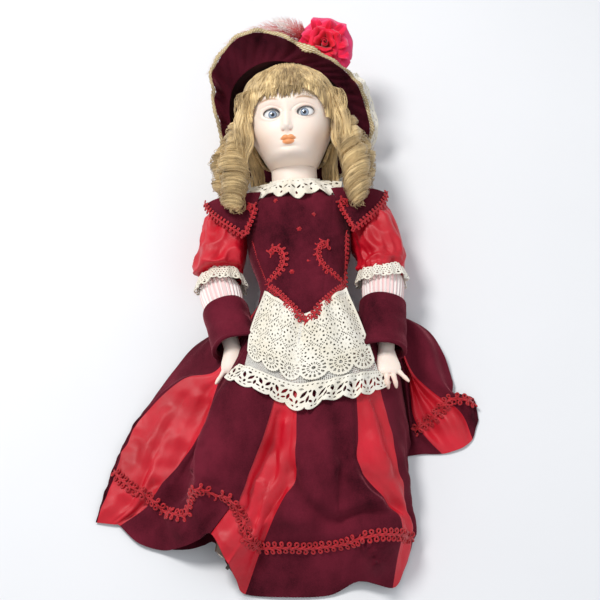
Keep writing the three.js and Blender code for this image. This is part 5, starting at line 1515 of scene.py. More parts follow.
# ---- hands ----
PALM = [[-3, 8.4, 7.2], [0, 9.2, 7.4], [8, 10.8, 7.0], [16, 12.8, 6.6], [23, 12.8, 5.6], [27, 9.4, 4.0]]
FINGERS = [
    ([[-9.2, -20, -1], [-12, -27, 0.5], [-16, -33, 1], [-19.5, -38, 1]], 2.5),
    ([[-3.6, -22, 0], [-4.6, -31, 0.6], [-5.8, -37, -1.5], [-6.4, -42, -5]], 2.75),
    ([[2.4, -22, 0], [2.6, -31, 0], [2.3, -37, -3], [1.6, -41, -8]], 2.85),
    ([[8.4, -20, -1], [9.4, -27, -1.5], [9.5, -33, -4.5], [9.0, -36, -9]], 2.7),
    ([[8, -6, -2], [13, -12, -4], [17.5, -17, -6], [19, -25, -9]], 3.3),
]
TIP_LIFT = {"right": 0.0, "left": 8.0}
for name, side in (("right", -1), ("left", 1)):
    elbow, wrist = np.array(ELBOWS[name], float), np.array(WRISTS[name], float)
    ahead = unit(wrist - elbow)
    length = float(np.linalg.norm(wrist - elbow))
    reach = unit(np.array([0, -1, TIP_LIFT[name] / 40]))

    def hand_point(p, wrist=wrist, reach=reach, side=side):
        p = np.asarray(p, float)
        return wrist + p[...,
                         1:2] * -reach + np.stack([-side * p[..., 0], np.zeros(p.shape[:-1]), p[..., 2]],
                             -1)

    parts = []
    for path, radius in FINGERS:
        fine = hand_point(along(path, 22))
        s = np.linspace(0, 1, 22)
        r = radius * (1.12
                      - 0.30 * s) * np.sqrt(np.clip(1 - ((s - 0.80) / 0.2).clip(0) ** 2, 0.02, 1)) * (1
                          + 0.06 * np.cos(s * 19))
        tube, quads, _ = tubes(fine[None], r[None], 14)
        caps = [ball(fine[0], radius * 1.1), ball(fine[-2], radius * 0.62)]
        parts += [(tube, quads, None)] + caps
    rows = along(PALM, 34)
    a = np.linspace(0, 2 * math.pi, 41)[:-1]
    palm = np.stack([rows[:, 1:2] * np.cos(a), np.broadcast_to(-rows[:, :1], (34, 40)),
                     rows[:, 2:3] * np.sin(a) + 0.6 * bell(rows[:, :1], 14, 9) * np.cos(a * 2)], -1)
    parts += [(hand_point(palm).reshape(-1, 3), grid_quads(34, 40, wrap=True), None)]
    parts += [ball(hand_point([0, -25.0, 0])[()], 3.0)]
    arm = np.array([[5, 5.0], [7, 6.6], [16, 10.3], [30, 11.3], [50, 10.3], [length - 8, 8.8],
                    [length - 1, 8.3], [length + 2, 7.6]])
    arm = along(arm, 50)
    across = unit(np.cross(ahead, [0, 0, 1.0]))
    top = np.cross(across, ahead)
    tube = (elbow + ahead * arm[:, :1])[:, None] + arm[:, 1:2,
        None] * (across * np.cos(a)[:, None] + top * np.sin(a)[:, None] * 0.94)
    parts += [(tube.reshape(-1, 3), grid_quads(50, 40, wrap=True), None)]
    for end, turn in ((tube[0], 1), (tube[-1], -1), (hand_point(palm)[0], 1), (hand_point(palm)[-1], -1)):
        fan = np.vstack([end, end.mean(0)[None]])
        k = np.arange(40)
        parts += [(fan, np.stack([k, (k + 1) % 40, np.full(40, 40), np.full(40, 40)], 1), None)]
    points, quads, _ = joined(parts)
    made = piece(f"hand_bisque_{name}", points, quads, LOOKS["bisque"],
                 replaces=[f"forearm_hand_{name}"])
    merge = made.modifiers.new("merge", "REMESH")
    merge.mode = "VOXEL"
    merge.voxel_size = 0.0007
    relax = made.modifiers.new("relax", "SMOOTH")
    relax.factor = 0.5
    relax.iterations = 7
    bpy.context.view_layer.update()
    graph = bpy.context.evaluated_depsgraph_get()
    final = bpy.data.meshes.new_from_object(made.evaluated_get(graph), depsgraph=graph)
    made.modifiers.clear()
    made.data = final
    final.polygons.foreach_set("use_smooth", np.ones(len(final.polygons), bool))
    co = np.empty(len(final.vertices) * 3)
    final.vertices.foreach_get("co", co)
    down = -(co.reshape(-1, 3) / MM - TO_ROW - wrist) @ np.array([0, 1.0, 0])
    rosy = np.clip((down - 22) / 18, 0, 1)
    paint(made, mix_tint(np.ones((len(rosy), 3)), (1.0, 0.84, 0.78), 0.6 * rosy))
    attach(made, f"arm_lower_{name}")


# ---- hair ----
def scalp():
    """The wig's cap of combed hair, open round the face."""
    y = np.linspace(42, 141, 110)[:, None]
    angle = np.linspace(0, 2 * math.pi, 261)[:-1]
    x, z = head_ring(np.minimum(y, 139), angle, 0.0)
    grow = 4.6 + 0.7 * np.sin(angle * 46 + 2 * np.sin(angle * 5) + y * 0.05) + 0.5 * ripple(angle * 40,
        y + 0 * angle, 14, 71)
    out = np.stack([x, 0 * x + y, z], -1)
    direction = unit(out - np.array([0, 88.0, 0]) * [0, 1, 0])
    out = out + direction * grow[..., None]
    low = out[..., 1] < 74
    tall, deep = np.where(low, 62, 36), np.where(low, 74, 58)
    hairline = ((out[..., 0] - 1) / 44) ** 2 + ((out[..., 1] - 74) / tall) ** 2 + ((out[..., 2] - 62)
        / deep) ** 2 - 1
    uv = np.stack([np.broadcast_to(angle / (2 * math.pi), y.shape[:1] + angle.shape),
                   np.broadcast_to(y * 0.01, (len(y), len(angle)))], -1)
    data = np.concatenate([from_face(out), uv], -1).reshape(-1, 5)
    behind = np.maximum((out[..., 1] - 76) / 9, (-3 - out[..., 2]) / 9)
    hairline = np.minimum(np.clip(hairline, -1, 1), np.clip(behind, -1, 1))
    data, faces = cut_sheet(data, grid_quads(110, 260, wrap=True)[:, ::-1], hairline)
    made = piece("wig_scalp", data[:, :3], faces[:, ::-1], LOOKS["hair"], "head",
                 ["wig_cap", "wig_bangs"], uv=data[:, 3:5])
    thicken(made, 2.0)


scalp()


def lock(path, width, depth, up, twist=0.0, sides=8, steps=26):
    """A tapering lock of hair, lens-shaped across."""
    fine = along(path, steps)
    s = np.linspace(0, 1, steps)
    ahead = unit(np.gradient(fine, axis=0))
    side = unit(np.cross(ahead, np.asarray(up, float) + 0 * ahead))
    top = np.cross(side, ahead)
    turn = twist * s
    side, top = side * np.cos(turn)[:, None] + top * np.sin(turn)[:, None], top * np.cos(turn)[:,
        None] - side * np.sin(turn)[:, None]
    taper = np.sqrt(np.clip(s / 0.10, 0.10, 1)) * np.clip((1.02 - s) / 0.45, 0, 1) ** 0.6
    a = np.arange(sides) / sides * 2 * math.pi
    ring = side[:, None] * (np.cos(a) * width)[:, None] + top[:, None] * (np.sin(a) * depth)[:, None]
    points = fine[:, None] + ring * taper[:, None, None]
    uv = np.stack(np.broadcast_arrays(a / 6.28 * 0.08 + rng.uniform(0, 9), (s * 0.6)[:, None]), -1)
    return points.reshape(-1, 3), grid_quads(steps, sides, wrap=True), uv.reshape(-1, 2)


def on_scalp(y, angle, lift):
    """A place above the head's side, in the face's frame."""
    x, z = head_ring(min(max(y, 30.0), 139.0), np.array([angle]))
    p = np.array([x[0], y, z[0]])
    return p + unit(p - np.array([0, 80.0, 0])) * lift


bangs = []
for k in range(190):
    a = rng.uniform(0.18, math.pi - 0.18)
    share = 1 - a / math.pi
    centre = abs(a - math.pi / 2)
    end_y = 98.5 + 3.0 * math.sin(k * 2.3) - 14 * max(0, centre - 0.80) * 1.6
    sweep = 0.34 * (0.62 - share) + rng.normal(0, 0.07)
    if share > 0.60:
        end_y += 2.5 - 9 * (share - 0.6)
        sweep = -0.30 - rng.uniform(0, 0.12)
    start_y = rng.uniform(118, 139)
    path = []
    for s in np.linspace(0, 1, 6):
        y = start_y + (end_y - start_y) * s**0.9
        path.append(on_scalp(y,
                             a + sweep * s**1.6 * (1 if share < 0.6 else -1) * (1 if share < 0.6 else -1),
                             4.8 + 2.4 * math.sin(math.pi * min(s * 1.15, 1)) + rng.uniform(-0.6, 1.0)
                             - 2.5 * s**4))
    bangs.append(lock(from_face(np.array(path)), rng.uniform(1.1, 2.3), 0.75, (0, 0.1, 1),
                      rng.uniform(-0.5, 0.5)))
for k in range(260):
    a = rng.uniform(0.12, math.pi - 0.12)
    end_y = 96.5 + rng.uniform(-2, 6) - 15 * max(0, abs(a - math.pi / 2) - 0.8)
    sweep = rng.normal(0.05, 0.2)
    start_y = rng.uniform(112, 138)
    path = [on_scalp(start_y + (end_y - start_y) * s, a + sweep * s**1.5,
                     5.6 + 2.6 * math.sin(math.pi * s) + rng.uniform(-0.3, 0.9)
                     - 2.0 * s**4) for s in np.linspace(0, 1, 6)]
    bangs.append(lock(from_face(np.array(path)), 0.34, 0.28, (0, 0.1, 1), 0, 5, 14))
points, quads, uv = joined(bangs)
piece("wig_bang_locks", points, quads, LOOKS["hair"], "head", uv=uv)

# Waved hair beside the face, from the temples down to the ringlets.
side_locks = []
for side in (-1, 1):
    for k in range(64):
        f = rng.uniform(0, 1)
        g = rng.uniform(0, 1)
        phase = rng.uniform(0, 6.28) * 0.25 + 1.2 * g
        wave = lambda s: 1.9 * math.sin(s * 13 + phase) * min(s * 2, 1)
        top = np.array([side * (36 + 8 * f), 122 - 8 * f, 30 - 26 * g])
        path = [
            top,
            [side * (42 + 8 * f + wave(0.2)), 104, 33 - 20 * g + 3 * f],
            [side * (44 + 13 * f + wave(0.4)), 86, 35 - 20 * g + 5 * f],
            [side * (44 + 17 * f + wave(0.6)), 70, 36 - 18 * g + 4 * f],
            [side * (45 + 20 * f + wave(0.8)), 55, 35 - 16 * g + 4 * f],
            [side * (48 + 21 * f + wave(1.0)), 40, 34 - 14 * g],
            [side * (52 + 18 * f), 26, 32 - 12 * g],
        ]
        size = rng.uniform(1.2, 3.0)
        side_locks.append(lock(from_head(np.array(path)), size, 1.0, (0, 0.1, 1), rng.uniform(-1.2, 1.2), 8,
                               34))
    for k in range(110):
        f, g = rng.uniform(-0.1, 1.15), rng.uniform(-0.2, 1)
        phase = rng.uniform(0, 6.28)
        top = [side * (38 + 8 * f), 118 - 8 * f, 32 - 22 * g]
        path = [top] + [[side * (44 + 12 * f * (1 + 0.3 * s) + 9 * s + 2.4 * math.sin(s * 12 + phase)),
                         106 - 78 * s,
                         36 - 18 * g + 4 * math.sin(s * 9 + phase)] for s in np.linspace(0, 1, 7)]
        side_locks.append(lock(from_head(np.array(path)), 0.32, 0.28, (0, 0.1, 1), 0, 5, 30))
    # Hair that falls behind the neck.
    for k in range(60):
        f, g = rng.uniform(0, 1), rng.uniform(0, 1)
        phase = rng.uniform(0, 6.28)
        path = [[side * (46 - 10 * f + 2.2 * math.sin(s * 9 + phase)), 84 - 80 * s,
                 -4 - 16 * f - 6 * g + 2 * math.sin(s * 7 + phase)]
                for s in np.linspace(0, 1, 7)]
        side_locks.append(lock(from_head(np.array(path)), rng.uniform(1.4, 3.2), 1.1, (0, 0.1, 1),
                               rng.uniform(-0.8, 0.8), 8, 26))
points, quads, uv = joined(side_locks)
piece("wig_side_locks", points, quads, LOOKS["hair"], "head", uv=uv)

RINGLETS = {
    "front": [[56, 200, 92, 8, 8], [59, 188, 94, 11.5, 11], [62, 170, 93, 13.5, 12.5],
              [65, 150, 92, 14.6, 13],
              [67, 128, 90, 14.4, 12.5], [67, 106, 89, 12.2, 11], [64, 93, 88, 7, 6.5]],
    "back": [[64, 204, 62, 6, 6], [73, 188, 62, 10, 10], [79, 166, 61, 11, 11], [80, 146, 60, 10, 9.5],
             [78, 130, 59, 6, 5]],
}
RINGLET_TURNS = {"front": 5.6, "back": 4.2}
for row, stations in RINGLETS.items():
    for side, name in ((-1, "right"), (1, "left")):
        loose = side < 0
        steps = 260
        fine = along([[side * s[0], *s[1:]] for s in stations], steps, even=True)
        v = np.linspace(0, 1, steps)
        fine[:, 0] += side * (2.2 if loose else 0.9) * np.sin(v * 15 + (1 if loose else 0))
        a = np.linspace(0, 2 * math.pi, 73)[:-1]
        turns = RINGLET_TURNS[row] * (0.8 if loose else 1.0)
        phase = -side * turns * v[:, None] + a / (2 * math.pi)
        phase = phase + 0.09 * np.sin(v[:, None] * 17 + side) + 0.05 * np.sin(2 * a + v[:, None] * 11)
        band = phase % 1.0
        swell = 0.60 + 0.46 * np.sin(math.pi * band) ** 0.5
        strands = 0.025 * np.sin(band * 2 * math.pi * 9 + 2 * np.sin(v[:, None] * 30))
        r = fine[:, 3:4] * (swell + strands)
        depth = fine[:, 4:5] * (swell + strands)
        tip = np.sqrt(np.clip(1 - ((v - 0.93) / 0.07).clip(0) ** 2, 0.0, 1))[:,
            None] * np.sqrt(np.clip(v / 0.05, 0, 1))[:, None]
        slant = 0.18 if loose else 0.38
        grid = np.stack([fine[:, :1] + r * np.cos(a) * tip, fine[:, 1:2] + slant * r * np.cos(a) * tip,
                         fine[:, 2:3] + depth * np.sin(a) * tip], -1)
        grid[..., 2] = np.maximum(grid[..., 2], 1.2)
        uv = np.stack([phase * 0.9, np.broadcast_to(v[:, None] * 3 - a / 6.28 * 0.4, phase.shape)],
                      -1).reshape(-1, 2)
        parts = [(grid.reshape(-1, 3), grid_quads(steps, 72, wrap=True)[:, ::-1], uv)]
        for k in range(70 if loose else 46):
            start = rng.uniform(0, 0.8)
            end = min(start + rng.uniform(0.12, 0.4), 1.02)
            s = np.linspace(start, end, 26)
            turn = 2 * math.pi * (rng.uniform(0, 1) + side * turns * s)
            out = 1.03 + rng.uniform(0, 0.10) + (0.3 if loose else 0.16) * rng.uniform(0,
                1) ** 4 * np.linspace(0, 1, 26)
            place = np.clip(s, 0, 1) * (steps - 1)
            c = [np.interp(place, np.arange(steps), fine[:, q]) for q in range(5)]
            hair = np.stack([c[0] + c[3] * out * np.cos(turn),
                             c[1] + slant * c[3] * np.cos(turn) - 12 * (s - 1).clip(0),
                             c[2] + c[4] * out * np.sin(turn)], -1)
            parts.append(tubes(hair[None], 0.27, 4))
        for k in range(26):
            t = rng.uniform(0, 2 * math.pi)
            r0 = rng.uniform(0.2, 1) * 5
            s = np.linspace(0, 1, 10)
            x0, y0, z0 = fine[-14, :3]
            curl = t + s * rng.uniform(1, 3)
            wisp = np.stack([x0 + (r0 + 3 * s) * np.cos(curl), y0 - 9 * s * rng.uniform(0.4, 1.2),
                             z0 + (r0 * 0.8 + 1.5 * s) * np.sin(curl)], -1)
            parts.append(tubes(wisp[None], (0.5 * (1 - 0.7 * s))[None], 5))
        points, quads, uv = joined(parts)
        points[:, 2] = np.maximum(points[:, 2], 0.8)
        made = piece(f"ringlet_hair_{row}_{name}", points, quads, LOOKS["hair"],
                     replaces=[f"ringlet_{row}_{name}"], uv=uv)
        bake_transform(made)

# ---- bonnet ----
BRIM_INNER = [
    [69, 76, -36], [66, 106, -14], [51, 127, 2], [27, 142, 13], [0, 150, 15], [-27, 151, 13],
    [-50, 143, -1],
    [-64, 128, -20], [-66, 96, -38], [-46, 58, -63], [0, 44, -67], [46, 52, -63],
]
BRIM_OUTER = [
    [89, 76, -38], [83, 110, -8], [70, 129, 12], [47, 145, 26], [10, 164, 33], [-26, 180, 30],
    [-60, 174, 18],
    [-84, 144, -8], [-80, 102, -36], [-64, 54, -62], [0, 26, -58], [64, 44, -60],
]
BACKWARD = unit(np.array([0, 0.3, -1.0]))
CROWN_POLE = np.array([0, 104.0, -88.0])
brim_in, brim_out = along(BRIM_INNER, 480, closed=True), along(BRIM_OUTER, 480, closed=True)
brim_t = np.arange(480) / 480


def above_floor(points, clearance):
    """Keeps points of the head's frame above the surface the doll lies on."""
    height = NECK[2] + points[..., 1] * math.sin(HEAD_TILT) + points[..., 2] * math.cos(HEAD_TILT)
    lift = np.clip(clearance - height, 0, None)[..., None]
    return points + lift * np.array([0, math.sin(HEAD_TILT), math.cos(HEAD_TILT)])


def brim_surface():
    s = np.linspace(0, 1, 44)[:, None, None]
    t = brim_t[None, :, None]
    middle = (brim_in + brim_out) / 2 + BACKWARD * (4 + 2.5 * np.sin(t[0] * 2 * math.pi * 9))
    dip = 1 - 0.22 * bell(t, 0.605, 0.014) + 0.10 * bell(t, 0.575, 0.012) - 0.12 * bell(t, 0.310,
        0.016) - 0.10 * bell(t, 0.665, 0.012)
    far = brim_in + (brim_out - brim_in) * dip[0]
    curve = brim_in * (1 - s) ** 2 + 2 * middle * s * (1 - s) + far * s**2
    frill = np.sin(t * 2 * math.pi * 9 + 0.8) * 4.2 + np.sin(t * 2 * math.pi * 23
        + 2 * np.sin(t * 19)) * 1.1
    fold = 13.0 * bell(t, 0.600, 0.013) - 9.0 * bell(t, 0.572, 0.014) + 9.0 * bell(t, 0.650,
        0.018) - 7.0 * bell(t, 0.690, 0.016)
    fold = fold + 7.0 * bell(t, 0.300, 0.014) - 6.0 * bell(t, 0.330, 0.014) + 6.0 * bell(t, 0.450,
        0.03) - 4.0 * bell(t, 0.24, 0.02)
    crumple = 1.0 * np.sin(t * 2 * math.pi * 31 + 5 * s) * s * (1 - s) * 3
    return curve - BACKWARD * ((frill + fold) * s**1.5 + crumple)


brim_grid = brim_surface()
brim_face = from_head(above_floor(brim_grid, 2.6))
brim = piece("brim_velvet", brim_face.reshape(-1, 3), grid_quads(44, 480, wrap=True), LOOKS["velvet_brim"],
             "head",
             ["bonnet_brim"])
thicken(brim, 1.4, -1.0)
as_sheet(brim_face, grid_quads(44, 480, wrap=True))
rear = brim_grid + BACKWARD * 2.4
piece("brim_straw", from_head(above_floor(rear, 0.9)).reshape(-1, 3),
      grid_quads(44, 480, wrap=True)[:, ::-1], LOOKS["straw"], "head",
      uv=grid_uv(44, 480, (46, 5)))

# The rolled plait round the edge, bunched in one place.
edge = brim_grid[-1]
outward_edge = unit((brim_out - brim_in) * [1, 1, 0])
bunch = 1.6 * bell(brim_t, 0.305, 0.016) + 0.5 * bell(brim_t, 0.28, 0.05)
rows = []
a = np.linspace(0, 2 * math.pi, 15)[:-1]
for k in range(14):
    wide = 2.6 + 0.5 * np.sin(brim_t * 2 * math.pi * 120) + 1.6 * bunch
    deep = 1.9 + 0.3 * np.cos(brim_t * 2 * math.pi * 150) + 1.0 * bunch
    ring = edge + outward_edge * (2.0 + wide * math.cos(a[k]) + 1.0 * np.sin(brim_t * 2 * math.pi * 17))[:,
        None] + BACKWARD * (1.2 + deep * math.sin(a[k]))[:, None]
    rows.append(ring)
plait = np.stack(rows, 1)
plait = above_floor(plait, 1.0)
points, quads = from_head(plait).reshape(-1, 3), grid_quads(480, 14, wrap=True)
last = np.arange(14)
closing = np.stack([479 * 14 + last, 479 * 14 + (last + 1) % 14, (last + 1) % 14, last], 1)
uv = np.stack([np.broadcast_to(a * 0.7, (480, 14)), np.broadcast_to(brim_t[:, None] * 170, (480, 14))],
              -1).reshape(-1, 2)
piece("straw_plait", points, np.vstack([quads, closing]), LOOKS["straw"], "head",
      ["bonnet_straw_edge"], uv=uv)

centre = brim_in[::40].mean(0)
angle = np.linspace(0, math.pi / 2 * 0.985, 60)[:, None, None]
crown = centre + (brim_in - centre) * np.cos(angle) ** 0.55 + (CROWN_POLE
    - centre) * np.sin(angle) + np.array([0, 1.6, -4.6])
coils = 0.55 * np.sin(angle * 60)
crown = crown + unit(crown - centre) * coils
crown = above_floor(crown, 0.5)
made = piece("crown_straw", from_head(crown).reshape(-1, 3), grid_quads(60, 480, wrap=True)[:, ::-1],
             LOOKS["straw"], "head", ["bonnet_crown"],
             uv=grid_uv(60, 480, (170, 46)))
thicken(made, 1.4, -1.0)
# A lining of very dark velvet inside the crown: a real lining, made dark as painted shade inside the
# bonnet.
lining = crown[:52] + unit(centre - crown[:52]) * 3.4
lining[0] = brim_in + BACKWARD * -0.4
lining[1] = (lining[0] + lining[2]) / 2
lining = from_head(above_floor(lining, 2.4))
made = piece("crown_lining_painted_shade", lining.reshape(-1, 3), grid_quads(52, 480, wrap=True), LOOKS["velvet_lining_painted_shade"],
             "head")
as_sheet(lining, grid_quads(52, 480, wrap=True))
band = crown[3:11] + unit(crown[3:11] - centre) * 1.2
band = from_head(above_floor(band, 0.4))
made = piece("crown_band", band.reshape(-1, 3), grid_quads(8, 480, wrap=True)[:, ::-1], LOOKS["satin"],
             "head")
as_sheet(band, grid_quads(8, 480, wrap=True))


def hanging_place(u, v):
    t = 0.955 + u / 46 * 0.145
    index = (t % 1.0) * 480
    i = np.floor(index).astype(int) % 480
    f = (index - np.floor(index))[..., None]
    base = edge[i] * (1 - f) + edge[(i + 1) % 480] * f
    out = outward_edge[i] * (1 - f) + outward_edge[(i + 1) % 480] * f
    p = base + out * (1.0 + v * 0.46)[...,
                                      None] + BACKWARD * (1 + v * 0.30
                                          + 1.5 * np.sin(u * 0.5) * v / 20)[..., None]
    return from_head(above_floor(p, 2.5))


hanging = lace_piece("hanging_lace", hanging_place, (72.0, 21.0), crochet(72, 21, 12), LOOKS["lace"],
                     replaces=["bonnet_hanging_lace"])
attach(hanging, "head")

# ---- rose, leaves and feathers ----
ROSE = np.array([43, 170, 2.0])
ROSE_ACROSS, ROSE_UP = np.array([0.86, -0.5, 0]), np.array([0.5, 0.86, 0])


def rose_look():
    look, tree, shader = nodes_of("rose")
    place = node(tree, "ShaderNodeUVMap", uv_map="UVMap")
    split = node(tree, "ShaderNodeSeparateXYZ")
    tree.links.new(place.outputs["UV"], split.inputs["Vector"])
    wander = noise_at(tree, stretched(tree, "Object", (1, 1, 1)), 90.0, 3.0)
    mixed = node(tree, "ShaderNodeMath", operation="MULTIPLY_ADD")
    tree.links.new(wander, mixed.inputs[0])
    mixed.inputs[1].default_value = 0.25
    tree.links.new(split.outputs["Y"], mixed.inputs[2])
    # Colour runs with UV v, from dark at each petal's base and in the heart, painted shade, to lighter pink
    # towards the outer petals' tips.
    colour = ramp(tree, mixed.outputs[0],
                  [(0.15, (0.30, 0.001, 0.006)), (0.55, (0.70, 0.003, 0.022)), (0.88, (0.80, 0.012, 0.075)),
                                            (1.0, (0.86, 0.045, 0.17))])
    tree.links.new(colour.outputs["Color"], shader.inputs["Base Color"])
    veins = noise_at(tree, stretched(tree, "UV", (34, 3, 1)), 1.0, 3.0)
    bump(tree, shader, veins, 0.0006, 0.7)
    set_shader(shader, Roughness=0.6, Sheen_Weight=0.35, Sheen_Roughness=0.4, Specular_IOR_Level=0.25)
    return look


LOOKS["rose"] = rose_look()


def petal(angle, reach, width, lift, cup, curl, base=0.0, painted_lightness=1.0, seed=0):
    """A petal that leaves the heart at an angle, cups upwards and curls back at its edge."""
    s, t = np.meshgrid(np.linspace(0, 1, 22), np.linspace(-1, 1, 22), indexing="ij")
    outline = np.sin(np.clip(s * 1.12, 0, 1) * math.pi * 0.62) ** 0.7
    out = base + reach * s * (1 - 0.16 * t**2 * s) + 0.6 * np.sin(t * 5 + seed) * s
    side = width * t * outline
    up = lift * s + cup * np.sin(s * math.pi * 0.75) + 0.030 * cup * (side / 3) ** 2 - curl * np.clip(s
        - 0.62, 0, 1) ** 1.6 * 7
    up += 0.7 * np.sin(t * 7 + seed * 2) * s**2
    x = out * math.cos(angle) - side * math.sin(angle)
    y = out * math.sin(angle) + side * math.cos(angle)
    points = ROSE + x[..., None] * ROSE_ACROSS + y[..., None] * ROSE_UP + up[...,
        None] * np.array([0, 0, 1.0])
    # UV v grows out along the petal, scaled down for the inner petals so they come out darker: painted
    # shade in the rose's heart.
    uv = np.stack([t * 0.5 + 0.5 + seed, (s * 0.8 + 0.1) * painted_lightness], -1)
    return from_head(points).reshape(-1, 3), grid_quads(22, 22), uv.reshape(-1, 2)


petals = []
for k in range(5):
    petals.append(petal(k * 1.257 + 0.55, 32 + 2.5 * math.sin(k * 2.1), 20.5, -3.0, 6.0, 3.6, 1.0, 1.16, k))
for k in range(4):
    petals.append(petal(k * 1.571 + 1.0, 25, 18, 1.5, 8.0, 2.6, 1.0, 1.0, 10 + k))
for k in range(4):
    petals.append(petal(k * 1.571 + 0.2, 17.5, 13.5, 6.5, 9.0, 1.6, 0.8, 0.80, 20 + k))
for k in range(3):
    petals.append(petal(k * 2.094 + 0.8, 10.5, 9.5, 11.0, 8.0, 0.8, 0.6, 0.66, 30 + k))
heart = []
for k in range(3):
    turn, high = np.meshgrid(np.linspace(0, 5.2, 40), np.linspace(0, 1, 8))
    r = 1.0 + k * 1.2 + turn * 0.22
    spiral = ROSE + (r * np.cos(turn + k * 2))[..., None] * ROSE_ACROSS + (r * np.sin(turn + k * 2))[...,
        None] * ROSE_UP + (6 + high * (12.5 - k))[..., None] * np.array([0, 0, 1.0])
    heart.append((from_head(spiral).reshape(-1, 3), grid_quads(8, 40),
                  np.stack([turn * 0.2, high * 0.5], -1).reshape(-1, 2)))
points, quads, uv = joined(petals + heart)
made = piece("rose_petals", points, quads, LOOKS["rose"], "head", ["bonnet_rose"], uv=uv)
thicken(made, 0.5, 0.0)

leaves = []
for angle, reach, width in ((-0.75, 36, 7), (0.55, 31, 6), (2.0, 32, 6.5), (-2.3, 30, 6)):
    s, t = np.meshgrid(np.linspace(0, 1, 30), np.linspace(-1, 1, 13), indexing="ij")
    side = width * t * np.sin(s * math.pi) ** 0.7 * (1 + 0.10 * np.sin(s * 60) * np.abs(t))
    out = 8 + reach * s * 0.78
    x, y = out * math.cos(angle) - side * math.sin(angle), out * math.sin(angle) + side * math.cos(angle)
    up = -4 + 3 * np.sin(s * 3) - 0.05 * side**2
    p = ROSE + x[..., None] * ROSE_ACROSS + y[..., None] * ROSE_UP + up[..., None] * np.array([0, 0, 1.0])
    leaves.append((from_head(p).reshape(-1, 3), grid_quads(30, 13), grid_uv(30, 13)))
points, quads, uv = joined(leaves)
made = piece("rose_leaves", points, quads, LOOKS["leaf"], "head", uv=uv)
thicken(made, 0.5, 0.0)


def plume_look():
    look, tree, shader = nodes_of("plume")
    place = node(tree, "ShaderNodeUVMap", uv_map="UVMap")
    split = node(tree, "ShaderNodeSeparateXYZ")
    tree.links.new(place.outputs["UV"], split.inputs["Vector"])
    wander = noise_at(tree, stretched(tree, "UV", (3, 1, 1)), 2.0, 2.0)
    mixed = node(tree, "ShaderNodeMath", operation="MULTIPLY_ADD")
    tree.links.new(wander, mixed.inputs[0])
    mixed.inputs[1].default_value = 0.45
    tree.links.new(split.outputs["Y"], mixed.inputs[2])
    colour = ramp(tree, mixed.outputs[0],
                  [(0.25, (0.50, 0.008, 0.014)), (0.55, (0.66, 0.08, 0.08)), (0.80, (0.84, 0.58, 0.54)),
                   (1.0, (0.86, 0.80, 0.76))])
    tree.links.new(colour.outputs["Color"], shader.inputs["Base Color"])
    set_shader(shader, Roughness=0.75, Sheen_Weight=0.3, Specular_IOR_Level=0.2)
    return look


LOOKS["plume"] = plume_look()
QUILLS = [
    [[22, 182, 2], [6, 188, 8], [-12, 193, 10], [-30, 192, 8], [-46, 186, 4]],
    [[20, 180, -2], [2, 192, 2], [-18, 197, 4], [-38, 193, 0], [-56, 184, -4], [-70, 172, -8]],
    [[22, 184, 4], [12, 192, 10], [0, 197, 14], [-12, 199, 14]],
    [[20, 178, 4], [0, 184, 12], [-20, 188, 12], [-36, 187, 8]],
    [[20, 180, 0], [-4, 190, 4], [-34, 191, 4], [-60, 182, 0], [-78, 166, -8], [-88, 150, -14]],
    [[24, 180, 6], [14, 186, 12], [4, 190, 16], [-6, 192, 18]],
]
strands = []
for q, quill in enumerate(QUILLS):
    fine = along(quill, 60)
    s = np.linspace(0, 1, 60)
    tube, quads, _ = tubes(from_head(fine)[None], (0.55 * (1 - 0.8 * s))[None], 5)
    strands.append((tube, quads, np.stack([np.zeros(300), np.repeat(s, 5) * 0.6], -1)))
    ahead = unit(np.gradient(fine, axis=0))
    for k in range(230):
        place = rng.uniform(0.0, 1.0) ** 1.25
        i = int(place * 59)
        side = unit(np.cross(ahead[i], [0, 0, 1.0])) * rng.choice([-1, 1])
        reach = (10 - 5 * place) * rng.uniform(0.6, 1.2)
        f = np.linspace(0, 1, 9)[:, None]
        barb = fine[i] + side * reach * f * (1
            - 0.25 * f) + ahead[i] * reach * 0.9 * f**1.4 + np.array([0, 0, 1.0]) * (rng.uniform(-2.5, 3.5)
                * f**1.5)
        tube, quads, _ = tubes(from_head(barb)[None], (0.19 * (1 - 0.6 * f[:, 0]))[None], 4)
        shade = np.repeat(place * 0.75 + f[:, 0] * 0.25, 4)
        strands.append((tube, quads, np.stack([np.full(36, k * 0.1), shade], -1)))
points, quads, uv = joined(strands)
piece("plume_barbs", points, quads, LOOKS["plume"], "head", ["bonnet_plume"], uv=uv)


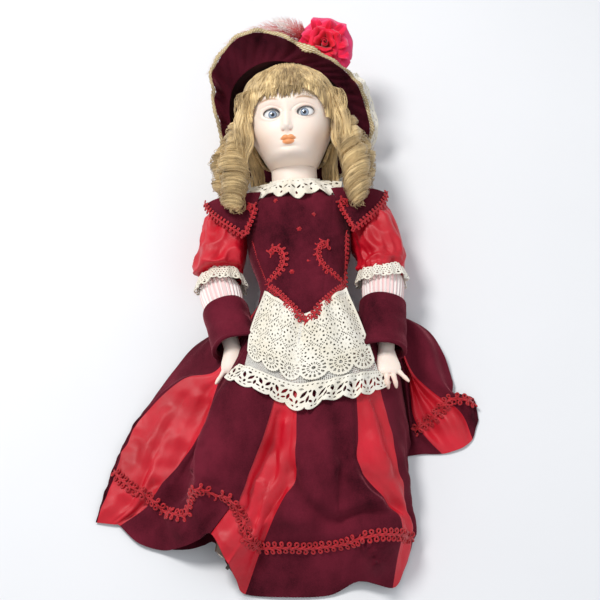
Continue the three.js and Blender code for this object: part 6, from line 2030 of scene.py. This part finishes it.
# ---- CAD pieces that keep their shape get their real surface ----
CAD_LOOKS = {
    "composition": ["torso", "upper_arm_right", "upper_arm_left", "thigh_right", "thigh_left",
                    "lower_leg_right", "lower_leg_left"],
    "wood": ["neck_button", "elbow_ball_right", "elbow_ball_left", "knee_ball_right", "knee_ball_left"],
    "steel": ["neck_hook", "neck_spring"],
    "elastic": ["arm_elastic", "leg_elastic"],
    "cork": ["head_pate"],
    "leather": ["boot_upper_right", "boot_upper_left"],
    "sole": ["boot_sole_right", "boot_sole_left"],
}
for look, names in CAD_LOOKS.items():
    for name in names:
        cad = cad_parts[name]
        cad.data.materials.clear()
        cad.data.materials.append(LOOKS[look])
        cad.data.polygons.foreach_set("use_smooth", np.full(len(cad.data.polygons), look != "cork"))

# ---- camera, floor and light ----
camera_data = bpy.data.cameras.new("camera")
camera_data.lens = 84.4
camera_data.sensor_width = 36
camera_data.clip_start = 0.05
camera = bpy.data.objects.new("camera", camera_data)
bpy.context.scene.collection.objects.link(camera)
target = Vector((0.021, -0.0025, 0.05))
elevation, azimuth, distance = math.radians(65), math.radians(-4), 1.5
camera.location = target + distance * Vector((
    math.sin(azimuth) * math.cos(elevation), -math.cos(azimuth) * math.cos(elevation), math.sin(elevation)))
camera.rotation_euler = (target - camera.location).to_track_quat("-Z", "Y").to_euler()
bpy.context.scene.camera = camera

floor_mesh = bpy.data.meshes.new("floor")
floor_mesh.from_pydata([(-3, -3, 0), (3, -3, 0), (3, 3, 0), (-3, 3, 0)], [], [(0, 1, 2, 3)])
floor = bpy.data.objects.new("floor", floor_mesh)
bpy.context.scene.collection.objects.link(floor)
floor_mesh.materials.append(plain("floor", (0.80, 0.81, 0.83), (0.82, 0.83, 0.85), 0.75, spread=3.0,
                                  depth=0.00001, specular=0.2))

world = bpy.data.worlds.new("studio")
bpy.context.scene.world = world
world.use_nodes = True
world.node_tree.nodes["Background"].inputs["Color"].default_value = (0.93, 0.96, 1.0, 1.0)
world.node_tree.nodes["Background"].inputs["Strength"].default_value = 0.56


def area_light(name, place, aim, size, power, colour=(1, 1, 1)):
    data = bpy.data.lights.new(name, "AREA")
    data.shape = "DISK"
    data.size = size
    data.energy = power
    data.color = colour
    made = bpy.data.objects.new(name, data)
    made.location = place
    made.rotation_euler = (Vector(aim) - Vector(place)).to_track_quat("-Z", "Y").to_euler()
    bpy.context.scene.collection.objects.link(made)


area_light("key", (-0.6, 0.6, 1.5), (0, 0, 0), 0.5, 21.0, (1.0, 0.98, 0.96))
area_light("fill", (1.2, -1.0, 1.2), (0, 0, 0), 1.6, 6.0, (0.95, 0.97, 1.0))
bpy.context.scene.view_settings.view_transform = "Standard"
